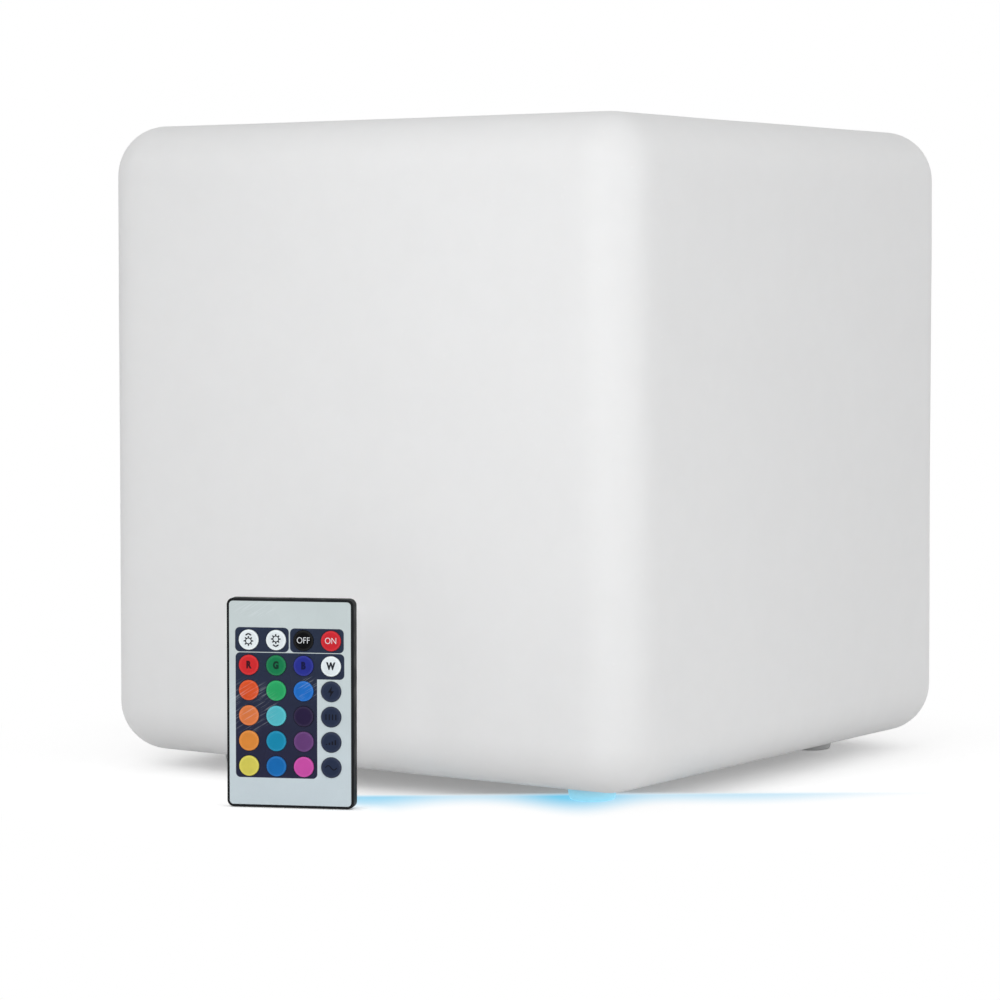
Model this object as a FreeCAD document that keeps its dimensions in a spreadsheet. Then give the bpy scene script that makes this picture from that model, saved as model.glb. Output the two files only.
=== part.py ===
"""LED cube light with its 24-key remote handset, in millimetres, +Z up.

The origin is on the floor under the cube's centre. The near side of the cube faces -Y. The lamp is a
rotomoulded shell on four rubber feet, closed from below by a round base plate that carries the power
button, the charging socket under its flap, the control board, the battery and the lights under a dome.
The handset stands in front of the cube, and each of its pieces is built in the handset's own frame:
X across, Y from the face sheet (0) to the back, Z up from the bottom edge.
"""
import FreeCAD, Part
import math
import os

import Sketcher

os.makedirs("parts", exist_ok=True)
doc = FreeCAD.newDocument("LedCubeLight")

# ---------------------------------------------------------------------------------------------------
# Driving dimensions
# ---------------------------------------------------------------------------------------------------
SIZES = {
    # shell
    "cube_size": 280.0,             # outer edge of the cube
    "edge_radius": 22.5,            # rounding of every edge and corner
    "shell_wall": 3.0,
    # feet
    "foot_height": 7.5,             # from the floor to the shell's underside
    "foot_radius": 11.7,            # at the shell
    "foot_tip_radius": 9.6,         # at the floor
    "foot_inset": 47.0,             # from the cube's faces to a foot's centre
    "foot_recess": 1.2,             # depth of the locating recess in the shell
    "foot_gap": 0.1,                # round a foot, in its recess
    # base plate and its seat in the shell
    "plate_margin": 5.6,            # from the circle of screws to the plate's edge
    "plate_gap": 0.4,               # round the plate, in the shell
    "plate_recess": 0.4,            # the plate's underside lies this much above the shell's
    "plate_thickness": 4.4,
    "base_seal_thickness": 1.2,
    "seal_edge_gap": 0.6,           # inside the plate's edge
    "seal_opening_gap": 0.8,        # outside the opening
    "seal_screw_gap": 0.18,         # round the screw holes
    "opening_room": 2.5,            # round the dome, in the way into the shell
    "seat_wall": 9.0,               # round the plate's recess
    "seat_roof": 1.0,               # of the ledge, above the inserts' holes
    # base screws and inserts
    "screw_inset": 6.0,             # from the opening to the circle of screws
    "screw_radius": 1.98,
    "screw_gap": 0.22,              # round a screw, in the plate
    "screw_setback": 0.3,           # of a screw's tip, in its insert
    "screw_head_radius": 3.8,
    "screw_head_height": 2.5,
    "screw_head_gap": 0.5,          # round a head, in its counterbore
    "screw_head_setback": 0.3,      # of a head, above the plate's underside
    "thread_fit": 0.04,             # between a screw and its insert
    "insert_wall": 0.88,
    "insert_length": 6.5,
    "insert_end_room": 0.5,
    # dome and light board
    "dome_room": 2.05,              # round the battery's and the board's corners, in the dome
    "dome_wall": 2.2,
    "dome_crown_inset": 17.0,       # from the dome's side to its flat crown
    "dome_side_height": 50.0,
    "dome_rise": 16.0,
    "dome_seal_thickness": 0.8,
    "post_room": 1.0,               # between a post and the board or the battery
    "post_radius": 4.0,
    "post_bore_fit": 0.02,
    "lead_room": 11.5,              # above the cells, under the light board
    "led_board_margin": 4.5,        # from a post's centre to the light board's edge
    "led_board_room": 3.8,          # round the light board, in the dome
    "led_board_thickness": 1.6,
    "led_inner_radius": 20.0,
    "led_outer_inset": 5.0,         # from the posts to the outer ring of chips
    "led_size": 5.0,
    "led_height": 1.6,
    "board_screw_radius": 1.38,
    "board_screw_length": 9.0,
    "board_screw_end_room": 2.0,
    "board_screw_gap": 0.2,
    "board_screw_head_radius": 2.8,
    "board_screw_head_height": 1.9,
    "receiver_width": 6.0,
    "receiver_depth": 4.4,
    "receiver_height": 6.6,
    "receiver_lens_radius": 1.9,
    # control board
    "board_length": 66.0,
    "board_width": 42.0,
    "board_thickness": 1.6,
    "board_setback": 3.0,           # from the middle line to the board's edge
    "standoff_height": 7.0,
    "standoff_radius": 2.8,
    "standoff_inset": 3.5,
    "driver_length": 10.0,
    "driver_width": 6.0,
    "charger_length": 6.0,
    "charger_width": 5.0,
    "choke_size": 8.0,
    "clock_length": 4.0,
    "clock_width": 2.5,
    "coil_radius": 4.5,
    "chip_height": 1.7,
    "coil_height": 4.2,
    "connector_height": 5.0,
    "connector_width": 9.0,
    "connector_depth": 5.6,
    "connector_inset": 8.0,         # from the board's ends
    "connector_setback": 5.5,       # from the board's inner edge
    # battery
    "cell_radius": 9.2,
    "cell_length": 65.0,
    "cell_gap": 0.4,                # between the cells, and round them
    "cell_end_room": 2.2,           # for the end springs
    "holder_wall": 1.8,
    "holder_lip": 0.2,              # of the cells above the holder
    "holder_start_y": 1.2,
    # power button and its switch
    "button_inset": 13.0,           # from the board's end
    "button_radius": 6.0,
    "button_gap": 0.3,
    "button_proud": 1.0,            # under the plate
    "button_flange_width": 1.5,
    "button_flange_thickness": 0.9,
    "button_stem_radius": 2.0,
    "button_travel": 0.6,
    "button_rest_gap": 0.06,        # between moving and fixed flat faces
    "button_seal_width": 2.0,
    "button_seal_height": 1.8,
    "switch_size": 6.0,
    "switch_body_height": 3.0,
    "plunger_radius": 1.7,
    "plunger_height": 0.7,
    # charging socket, flap and light
    "jack_inset": 15.0,             # from the board's end
    "jack_shift": 2.0,              # from the board's middle line
    "jack_radius": 5.0,
    "jack_hole_gap": 0.3,
    "jack_wall": 1.9,
    "jack_bore_depth": 8.0,
    "jack_pin_radius": 1.05,
    "jack_pin_setback": 1.2,
    "flap_radius": 9.2,
    "flap_gap": 0.35,
    "flap_thickness": 1.7,
    "flap_setback": 0.3,            # above the plate's underside
    "flap_room": 0.3,               # above the flap, in its pocket
    "flap_pin_out": 2.2,            # from the flap's edge to its pin
    "flap_pin_height": 1.5,         # above the plate's underside
    "flap_pin_radius": 0.7,
    "flap_pin_fit": 0.06,
    "flap_knuckle_wall": 0.49,
    "flap_knuckle_length": 8.0,
    "flap_pin_grip": 2.2,           # of the pin in the plate, at each end
    "finger_notch_radius": 4.5,
    "light_shift": 3.0,             # from the board's middle line
    "light_radius": 1.5,
    # leads
    "lead_radius": 0.65,
    "lead_pitch": 1.9,
    "lead_bend": 3.2,
    "lead_rise": 1.0,               # straight, past the battery leads' bend
    "lead_offset": 5.0,             # of the light board's leads, towards the near side
    # handset, outside
    "handset_x": 3.3,               # centre of the handset's bottom edge, at the face
    "handset_y": -184.5,
    "handset_yaw": 24.3,
    "handset_width": 54.0,
    "handset_length": 87.0,
    "handset_corner": 2.8,
    "handset_back_edge": 0.9,
    "rim": 1.1,                     # of the case, round the face sheet
    "back_wall": 0.9,
    # handset, layers from the face
    "sheet_gap": 0.05,
    "sheet_thickness": 0.4,
    "front_thickness": 0.8,
    "flange_gap": 0.05,
    "flange_thickness": 0.45,
    "key_stub": 0.1,                # behind the flange
    "key_travel": 0.28,
    "dome_clearance": 0.03,         # left at the end of the travel
    "snap_dome_height": 0.25,
    "remote_board_thickness": 0.7,
    "remote_board_gap": 0.2,
    # keys
    "key_radius": 4.2,
    "key_gap": 0.2,
    "key_proud": 0.5,
    "key_edge": 0.32,
    "key_flange_width": 0.65,
    "key_stub_radius": 2.6,
    "key_column_gap": 1.95,         # between the flanges of neighbours in a row
    "key_row_gap": 0.8,             # between the flanges of neighbours in a column
    # handset, inside
    "coin_radius": 10.0,
    "coin_thickness": 2.5,
    "coin_gap": 0.12,
    "coin_floor": 0.6,              # of the tray, under the cell's ring
    "tray_side": 1.58,              # of the tray, beside the cell's ring
    "tray_end": 2.06,               # of the tray, above the cell's ring
    "tray_gap": 0.12,
    "tray_step": 0.05,              # of the tray's back, in front of the cell's
    "contact_width": 7.0,
    "contact_thickness": 0.35,
    "contact_gap": 0.07,            # between the contact and the cell
    "contact_setback": 0.4,         # of the upright contact, from the tray
    "case_post_radius": 1.6,
    "case_post_inset": 4.6,
    "ir_radius": 1.4,
    "ir_fit": 0.06,
    "ir_board_gap": 0.1,
    "ir_back_gap": 0.14,
    "ir_collar": 0.09,
    "ir_collar_length": 1.0,
    "ir_length": 5.6,
    "ir_setback": 0.4,              # of its end, in the case's edge
    "remote_chip_drop": 34.8,       # from the top edge
    "remote_chip_length": 10.0,
    "remote_chip_width": 5.0,
    "remote_chip_height": 1.5,
}
SCREW_COUNT = 6
POST_ANGLES = (0, 90, 180, 270)
INNER_CHIPS = 8
OUTER_CHIPS = 16
KEY_ROWS = (
    ("brighter", "dimmer", "off", "on"),
    ("red", "green", "blue", "white"),
    ("orange_red", "light_green", "azure", "flash"),
    ("orange", "cyan", "dark_purple", "strobe"),
    ("amber", "teal", "purple", "fade"),
    ("yellow", "sky_blue", "pink", "smooth"),
)

sheet = doc.addObject("Spreadsheet::Sheet", "Sizes")
for line, (alias, number) in enumerate(SIZES.items(), start=1):
    sheet.set(f"A{line}", alias)
    sheet.set(f"B{line}", str(number))
    sheet.setAlias(f"B{line}", alias)
doc.recompute()


class Length:
    """A size that carries its number and the formula over the sheet that gives it."""

    def __init__(self, number, formula):
        self.number = float(number)
        self.formula = formula

    def __add__(self, other):
        other = length(other)
        return Length(self.number + other.number, f"({self.formula} + {other.formula})")

    def __sub__(self, other):
        other = length(other)
        return Length(self.number - other.number, f"({self.formula} - {other.formula})")

    def __mul__(self, factor):
        factor = length(factor)
        return Length(self.number * factor.number, f"({self.formula} * {factor.formula})")

    def __truediv__(self, divisor):
        return Length(self.number / divisor, f"({self.formula} / {divisor})")

    def __neg__(self):
        return Length(-self.number, f"(0 - {self.formula})")

    __radd__ = __add__
    __rmul__ = __mul__

    def __rsub__(self, other):
        return length(other) - self


def length(value):
    """Return value as a Length, so that plain numbers and sizes mix."""
    if isinstance(value, Length):
        return value
    return Length(value, f"({float(value):.9f})")


def cosine(angle):
    """Cosine of a size in degrees."""
    return Length(math.cos(math.radians(angle.number)), f"cos({angle.formula} * 1 deg)")


def sine(angle):
    """Sine of a size in degrees."""
    return Length(math.sin(math.radians(angle.number)), f"sin({angle.formula} * 1 deg)")


def larger(first, second):
    """The larger of two sizes."""
    return Length(max(first.number, second.number), f"max({first.formula}; {second.formula})")


def corner_reach(across, along):
    """Distance from the middle to a corner that lies across and along."""
    number = math.hypot(across.number, along.number)
    return Length(number, f"sqrt({across.formula} * {across.formula} + {along.formula} * {along.formula})")


class Sheet:
    """Reads each size from the sheet under its alias."""

    def __getattr__(self, alias):
        return Length(float(sheet.get(alias)), f"Sizes.{alias}")


S = Sheet()

PAST = 1.0      # cutting pieces reach this far past what they cut
SUNK = 0.1      # joined pieces reach this far into each other

# Battery and control board, side by side over the base plate.
cell_pitch = S.cell_radius * 2 + S.cell_gap
holder_inner_length = S.cell_length + S.cell_end_room * 2
holder_inner_width = cell_pitch * 2 + S.cell_gap
holder_length = holder_inner_length + S.holder_wall * 2
holder_width = holder_inner_width + S.holder_wall * 2
holder_far = S.holder_start_y + holder_width
holder_height = S.holder_wall + S.cell_radius * 2 - S.holder_lip
board_far = S.board_setback + S.board_width
board_centre_y = -(S.board_setback + S.board_width / 2)
connector_x = S.board_length / 2 - S.connector_inset
connector_y = -(S.board_setback + S.connector_setback)

# Round pieces of the base, each from what it goes round.
post_circle_radius = larger(holder_far, board_far) + S.post_radius + S.post_room
led_board_radius = post_circle_radius + S.led_board_margin
led_outer_radius = post_circle_radius - S.post_radius - S.led_outer_inset
farthest_corner = larger(
    corner_reach(holder_length / 2, holder_far), corner_reach(S.board_length / 2, board_far)
)
dome_inner_radius = larger(farthest_corner + S.dome_room, led_board_radius + S.led_board_room)
dome_radius = dome_inner_radius + S.dome_wall
opening_radius = dome_radius + S.opening_room
screw_circle_radius = opening_radius + S.screw_inset
plate_radius = screw_circle_radius + S.plate_margin
screw_hole_radius = S.screw_radius + S.screw_gap
counterbore_radius = S.screw_head_radius + S.screw_head_gap
counterbore_depth = S.screw_head_height + S.screw_head_setback
insert_bore_radius = S.screw_radius + S.thread_fit
insert_radius = insert_bore_radius + S.insert_wall
insert_hole_depth = S.insert_length + S.insert_end_room
head_seat_thickness = S.plate_thickness - counterbore_depth
screw_length = head_seat_thickness + S.base_seal_thickness + S.insert_length - S.screw_setback

# Levels of the lamp, from the floor up.
shell_under = S.foot_height
plate_under = shell_under + S.plate_recess
plate_top = plate_under + S.plate_thickness
ledge = plate_top + S.base_seal_thickness
seat_top = ledge + insert_hole_depth + S.seat_roof
board_under = plate_top + S.standoff_height
board_top = board_under + S.board_thickness
post_height = S.holder_wall + S.cell_radius * 2 + S.lead_room
led_board_under = plate_top + post_height
led_board_top = led_board_under + S.led_board_thickness
connector_top = board_top + S.connector_height
cell_height = plate_top + S.holder_wall + S.cell_radius

# Button, socket, flap and charge light, all on the control board.
button_x = S.button_inset - S.board_length / 2
button_flange_radius = S.button_radius + S.button_flange_width
jack_x = S.board_length / 2 - S.jack_inset
jack_y = board_centre_y - S.jack_shift
light_y = board_centre_y - S.light_shift
flap_pocket_depth = S.flap_setback + S.flap_thickness + S.flap_room
flap_knuckle_radius = S.flap_pin_radius + S.flap_pin_fit + S.flap_knuckle_wall
flap_pin_offset = S.flap_radius + S.flap_pin_out
flap_pin_y = jack_y + flap_pin_offset
flap_pin_z = plate_under + S.flap_pin_height
pin_slot_half = S.flap_knuckle_length / 2 + S.flap_gap

# Depths of the handset, from the face back.
front_face = S.sheet_thickness
front_back = front_face + S.front_thickness
flange_front = front_back + S.flange_gap
flange_back = flange_front + S.flange_thickness
key_back = flange_back + S.key_stub
snap_dome_front = key_back + S.key_travel + S.dome_clearance
remote_board_front = snap_dome_front + S.snap_dome_height
remote_board_back = remote_board_front + S.remote_board_thickness
coin_front = remote_board_back + S.contact_thickness + S.contact_gap
coin_back = coin_front + S.coin_thickness
eye_depth = remote_board_back + S.ir_board_gap + S.ir_radius
case_inside = larger(coin_back + S.tray_gap, eye_depth + S.ir_radius + S.ir_back_gap)
handset_depth = case_inside + S.back_wall

# Across and up on the handset.
half_width = S.handset_width / 2
inner_half = half_width - S.rim
inner_low = S.rim
inner_high = S.handset_length - S.rim
key_flange_radius = S.key_radius + S.key_flange_width
key_pitch_across = key_flange_radius * 2 + S.key_column_gap
key_pitch_down = key_flange_radius * 2 + S.key_row_gap
coin_height = S.rim + S.coin_gap + S.coin_radius + S.coin_floor
tray_width = (S.coin_radius + S.coin_gap + S.tray_side) * 2
tray_height = coin_height + S.coin_radius + S.coin_gap + S.tray_end


# ---------------------------------------------------------------------------------------------------
# Helpers
# ---------------------------------------------------------------------------------------------------
subparts = []


def bind(item, **sizes):
    """Bind properties of item, such as Length or Placement_Base_x, to sizes."""
    for name, value in sizes.items():
        item.setExpression(name.replace("_", "."), length(value).formula)


def move_to(item, x=0, y=0, z=0):
    """Bind the position of item."""
    bind(item, Placement_Base_x=x, Placement_Base_y=y, Placement_Base_z=z)


def on_floor(item, label):
    """Name a piece of the lamp, which is built where it belongs."""
    item.Label = label
    subparts.append(item)
    return item


def on_handset(item, label, across=0, up=0):
    """Name a piece of the handset and stand it in the handset's place, across and up from its frame."""
    item.Label = label
    item.Placement = FreeCAD.Placement(FreeCAD.Vector(0, 0, 0), FreeCAD.Vector(0, 0, 1), 1)
    bind(item, Placement_Rotation_Angle=S.handset_yaw)
    move_to(
        item,
        S.handset_x + cosine(S.handset_yaw) * across,
        S.handset_y + sine(S.handset_yaw) * across,
        up,
    )
    subparts.append(item)
    return item


def box(x, y, z, size_x, size_y, size_z):
    """Box from its lowest corner."""
    item = doc.addObject("Part::Box", "Box")
    bind(item, Length=size_x, Width=size_y, Height=size_z)
    move_to(item, x, y, z)
    return item


def centred_box(x, y, z, size_x, size_y, size_z):
    """Box centred on x and y, standing on z."""
    size_x, size_y = length(size_x), length(size_y)
    return box(length(x) - size_x / 2, length(y) - size_y / 2, z, size_x, size_y, size_z)


TURN_TO = {
    "x": FreeCAD.Rotation(FreeCAD.Vector(0, 1, 0), 90),
    "y": FreeCAD.Rotation(FreeCAD.Vector(1, 0, 0), -90),
    "z": FreeCAD.Rotation(),
}


def cylinder(x, y, z, radius, height, along="z"):
    """Cylinder from the centre of its first face, along an axis."""
    item = doc.addObject("Part::Cylinder", "Cylinder")
    bind(item, Radius=radius, Height=height)
    item.Placement.Rotation = TURN_TO[along]
    move_to(item, x, y, z)
    return item


def fuse(*pieces):
    """One solid from pieces that touch or overlap."""
    item = doc.addObject("Part::MultiFuse", "Fuse")
    item.Shapes = list(pieces)
    return item


def cut(base, *tools):
    """Take the tools out of the base."""
    item = doc.addObject("Part::Cut", "Cut")
    item.Base = base
    item.Tool = tools[0] if len(tools) == 1 else fuse(*tools)
    return item


def together(*pieces):
    """Separate solids that share one node."""
    item = doc.addObject("Part::Compound", "Compound")
    item.Links = list(pieces)
    return item


def around(radius, angle):
    """Point of a circle about the origin, at an angle in degrees."""
    radius = length(radius)
    return radius * math.cos(math.radians(angle)), radius * math.sin(math.radians(angle))


def new_body():
    """An empty body."""
    return doc.addObject("PartDesign::Body", "Body")


def new_sketch(body, plane, offset=0):
    """Sketch on an origin plane of the body, moved along the plane's normal."""
    sketch = body.newObject("Sketcher::SketchObject", "Sketch")
    origin = [item for item in body.Origin.OriginFeatures if item.Role == plane][0]
    sketch.AttachmentSupport = [(origin, "")]
    sketch.MapMode = "FlatFace"
    sketch.setExpression("AttachmentOffset.Base.z", length(offset).formula)
    return sketch


def fix_point(sketch, geometry, point, x, y):
    """Bind a point of the sketch to sizes, measured from the sketch's origin."""
    x, y = length(x), length(y)
    for kind, value in (("DistanceX", x), ("DistanceY", y)):
        index = sketch.addConstraint(Sketcher.Constraint(kind, -1, 1, geometry, point, value.number))
        sketch.setExpression(f"Constraints[{index}]", value.formula)


def draw_circle(sketch, x, y, radius):
    """Circle with a bound centre and radius."""
    x, y, radius = length(x), length(y), length(radius)
    centre = FreeCAD.Vector(x.number, y.number, 0)
    circle = Part.Circle(centre, FreeCAD.Vector(0, 0, 1), radius.number)
    geometry = sketch.addGeometry(circle, False)
    index = sketch.addConstraint(Sketcher.Constraint("Radius", geometry, radius.number))
    sketch.setExpression(f"Constraints[{index}]", radius.formula)
    fix_point(sketch, geometry, 3, x, y)


def draw_outline(sketch, points):
    """Closed outline of straight lines with bound corners."""
    corners = [(length(x), length(y)) for x, y in points]
    first = sketch.GeometryCount
    for (x0, y0), (x1, y1) in zip(corners, corners[1:] + corners[:1]):
        start = FreeCAD.Vector(x0.number, y0.number, 0)
        end = FreeCAD.Vector(x1.number, y1.number, 0)
        sketch.addGeometry(Part.LineSegment(start, end), False)
    for step, (x, y) in enumerate(corners):
        before = first + (step - 1) % len(corners)
        sketch.addConstraint(Sketcher.Constraint("Coincident", before, 2, first + step, 1))
        fix_point(sketch, first + step, 1, x, y)


def draw_rectangle(sketch, x0, y0, x1, y1):
    """Rectangle between two bound corners."""
    draw_outline(sketch, [(x0, y0), (x1, y0), (x1, y1), (x0, y1)])


def add_feature(body, kind, sketch, depth, turned=False):
    """Pad or Pocket of a sketch, by a bound depth."""
    feature = body.newObject(f"PartDesign::{kind}", kind)
    feature.Profile = sketch
    feature.Reversed = turned
    bind(feature, Length=depth)
    sketch.Visibility = False
    doc.recompute()
    return feature


def revolve(body, points):
    """Full turn of an outline of (radius, height) about Z, or of (radius, depth) about Y on a handset."""
    sketch = new_sketch(body, "XZ_Plane")
    draw_outline(sketch, points)
    feature = body.newObject("PartDesign::Revolution", "Revolution")
    feature.Profile = sketch
    feature.ReferenceAxis = (sketch, ["V_Axis"])
    feature.Angle = 360
    doc.recompute()
    return feature


def round_edges(body, wanted, radius):
    """Fillet the edges of the body's last feature for which wanted says True."""
    feature = body.Tip
    names = [f"Edge{i}" for i, edge in enumerate(feature.Shape.Edges, start=1) if wanted(edge)]
    fillet = body.newObject("PartDesign::Fillet", "Fillet")
    fillet.Base = (feature, names)
    bind(fillet, Radius=radius)
    doc.recompute()
    return fillet


def is_straight(edge, axis):
    """True for a straight edge along axis 0, 1 or 2."""
    first, last = edge.Vertexes[0].Point, edge.Vertexes[-1].Point
    span = [abs(last[i] - first[i]) for i in range(3)]
    return isinstance(edge.Curve, Part.Line) and span[axis] > 0 and max(span) == span[axis] == sum(span)


# ---------------------------------------------------------------------------------------------------
# Shell, feet and base plate
# ---------------------------------------------------------------------------------------------------
def rounded_block(size, radius, z):
    """Cube with every edge rounded, standing on z over the origin."""
    body = new_body()
    sketch = new_sketch(body, "XY_Plane", z)
    draw_rectangle(sketch, -size / 2, -size / 2, size / 2, size / 2)
    add_feature(body, "Pad", sketch, size)
    round_edges(body, lambda edge: True, radius)
    return body


def foot_places():
    """Centres of the four feet."""
    reach = S.cube_size / 2 - S.foot_inset
    return [(reach * sx, reach * sy) for sx in (-1, 1) for sy in (-1, 1)]


def make_hollow_cube():
    """Rounded cube with an even wall all round."""
    outside = rounded_block(S.cube_size, S.edge_radius, shell_under)
    inside = rounded_block(
        S.cube_size - S.shell_wall * 2, S.edge_radius - S.shell_wall, shell_under + S.shell_wall
    )
    return cut(outside, inside)


def square_slab(z, height):
    """A block wider than the cube, from z upwards."""
    side = S.cube_size + PAST * 2
    return centred_box(0, 0, z, side, side, height)


def make_shell():
    """Top and sides of the one-piece shell, down to where its lower rounding starts."""
    walls = cut(make_hollow_cube(), square_slab(shell_under - PAST, S.edge_radius + PAST))
    on_floor(walls, "shell")


def make_shell_underside():
    """Lower rounding and underside of the shell, with the base plate's seat and the feet's recesses."""
    tray = cut(make_hollow_cube(), square_slab(shell_under + S.edge_radius, S.cube_size))
    recess_radius = plate_radius + S.plate_gap
    seat = cylinder(0, 0, shell_under, recess_radius + S.seat_wall, seat_top - shell_under)
    walls = fuse(tray, seat)
    tools = [
        cylinder(0, 0, shell_under - PAST, recess_radius, ledge - shell_under + PAST),
        cylinder(0, 0, shell_under, opening_radius, seat_top - shell_under + PAST),
    ]
    for x, y in foot_places():
        recess_depth = S.foot_recess + PAST
        tools.append(cylinder(x, y, shell_under - PAST, S.foot_radius + S.foot_gap, recess_depth))
    for step in range(SCREW_COUNT):
        x, y = around(screw_circle_radius, step * 360 / SCREW_COUNT)
        tools.append(cylinder(x, y, ledge - PAST, insert_radius, insert_hole_depth + PAST))
    on_floor(cut(walls, *tools), "shell_underside")


def make_rubber_feet():
    """Four tapered feet, glued into the shell's recesses."""
    feet = []
    for x, y in foot_places():
        foot = doc.addObject("Part::Cone", "Foot")
        bind(foot, Radius1=S.foot_tip_radius, Radius2=S.foot_radius, Height=S.foot_height)
        move_to(foot, x, y, 0)
        head = cylinder(x, y, S.foot_height, S.foot_radius, S.foot_recess)
        feet.append(fuse(foot, head))
    on_floor(together(*feet), "rubber_feet")


def make_thread_inserts():
    """Brass inserts in the shell's ledge."""
    inserts = []
    for step in range(SCREW_COUNT):
        x, y = around(screw_circle_radius, step * 360 / SCREW_COUNT)
        sleeve = cylinder(x, y, ledge, insert_radius, S.insert_length)
        bore = cylinder(x, y, ledge - PAST, insert_bore_radius, S.insert_length + PAST * 2)
        inserts.append(cut(sleeve, bore))
    on_floor(together(*inserts), "thread_inserts")


def make_base_seal():
    """Flat rubber ring between the ledge and the base plate."""
    body = new_body()
    sketch = new_sketch(body, "XY_Plane", plate_top)
    draw_circle(sketch, 0, 0, plate_radius - S.seal_edge_gap)
    draw_circle(sketch, 0, 0, opening_radius + S.seal_opening_gap)
    for step in range(SCREW_COUNT):
        x, y = around(screw_circle_radius, step * 360 / SCREW_COUNT)
        draw_circle(sketch, x, y, screw_hole_radius + S.seal_screw_gap)
    add_feature(body, "Pad", sketch, S.base_seal_thickness)
    on_floor(body, "base_seal")


def standoff_places():
    """Centres of the control board's four standoffs."""
    reach_x = S.board_length / 2 - S.standoff_inset
    reach_y = S.board_width / 2 - S.standoff_inset
    return [(reach_x * sx, board_centre_y + reach_y * sy) for sx in (-1, 1) for sy in (-1, 1)]


def make_base_plate():
    """Round plate with posts, screw holes, button hole and the charging pocket."""
    body = new_body()
    disc = new_sketch(body, "XY_Plane", plate_under)
    draw_circle(disc, 0, 0, plate_radius)
    add_feature(body, "Pad", disc, S.plate_thickness)

    posts = new_sketch(body, "XY_Plane", plate_top)
    for angle in POST_ANGLES:
        x, y = around(post_circle_radius, angle)
        draw_circle(posts, x, y, S.post_radius)
    add_feature(body, "Pad", posts, post_height)

    standoffs = new_sketch(body, "XY_Plane", plate_top)
    for x, y in standoff_places():
        draw_circle(standoffs, x, y, S.standoff_radius)
    add_feature(body, "Pad", standoffs, S.standoff_height)

    bores = new_sketch(body, "XY_Plane", led_board_under)
    for angle in POST_ANGLES:
        x, y = around(post_circle_radius, angle)
        draw_circle(bores, x, y, S.board_screw_radius + S.post_bore_fit)
    add_feature(body, "Pocket", bores, S.board_screw_length + S.board_screw_end_room)

    through = new_sketch(body, "XY_Plane", plate_top)
    for step in range(SCREW_COUNT):
        x, y = around(screw_circle_radius, step * 360 / SCREW_COUNT)
        draw_circle(through, x, y, screw_hole_radius)
    draw_circle(through, button_x, board_centre_y, S.button_radius + S.button_gap)
    draw_circle(through, jack_x, jack_y, S.jack_radius + S.jack_hole_gap)
    draw_circle(through, 0, light_y, S.light_radius)
    add_feature(body, "Pocket", through, S.plate_thickness + PAST)

    counterbores = new_sketch(body, "XY_Plane", plate_under)
    for step in range(SCREW_COUNT):
        x, y = around(screw_circle_radius, step * 360 / SCREW_COUNT)
        draw_circle(counterbores, x, y, counterbore_radius)
    add_feature(body, "Pocket", counterbores, counterbore_depth, turned=True)

    pocket = new_sketch(body, "XY_Plane", plate_under)
    draw_circle(pocket, jack_x, jack_y, S.flap_radius + S.flap_gap)
    add_feature(body, "Pocket", pocket, flap_pocket_depth, turned=True)

    notch = new_sketch(body, "XY_Plane", plate_under)
    draw_circle(notch, jack_x, jack_y - S.flap_radius, S.finger_notch_radius)
    add_feature(body, "Pocket", notch, flap_pocket_depth, turned=True)

    slot = new_sketch(body, "XY_Plane", plate_under)
    draw_rectangle(
        slot,
        jack_x - pin_slot_half,
        jack_y + S.flap_radius / 2,
        jack_x + pin_slot_half,
        flap_pin_y + flap_knuckle_radius + S.flap_gap,
    )
    slot_depth = S.flap_pin_height + flap_knuckle_radius + S.flap_gap
    add_feature(body, "Pocket", slot, slot_depth, turned=True)

    pin_reach = pin_slot_half + S.flap_pin_grip
    bore = cylinder(
        jack_x - pin_reach, flap_pin_y, flap_pin_z, S.flap_pin_radius, pin_reach * 2, along="x"
    )
    on_floor(cut(body, bore), "base_plate")


def make_base_screws():
    """Pan-head screws with a cross recess, from below."""
    screws = []
    seat = plate_under + counterbore_depth
    cross_length, cross_width = S.screw_head_radius * 1.1, S.screw_head_radius * 0.24
    cross_depth = S.screw_head_height / 2 + PAST
    for step in range(SCREW_COUNT):
        x, y = around(screw_circle_radius, step * 360 / SCREW_COUNT)
        head_under = seat - S.screw_head_height
        head = cylinder(x, y, head_under, S.screw_head_radius, S.screw_head_height)
        shank = cylinder(x, y, seat - SUNK, S.screw_radius, screw_length + SUNK)
        cross = fuse(
            centred_box(x, y, head_under - PAST, cross_length, cross_width, cross_depth),
            centred_box(x, y, head_under - PAST, cross_width, cross_length, cross_depth),
        )
        screws.append(cut(fuse(head, shank), cross))
    on_floor(together(*screws), "base_screws")


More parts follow.
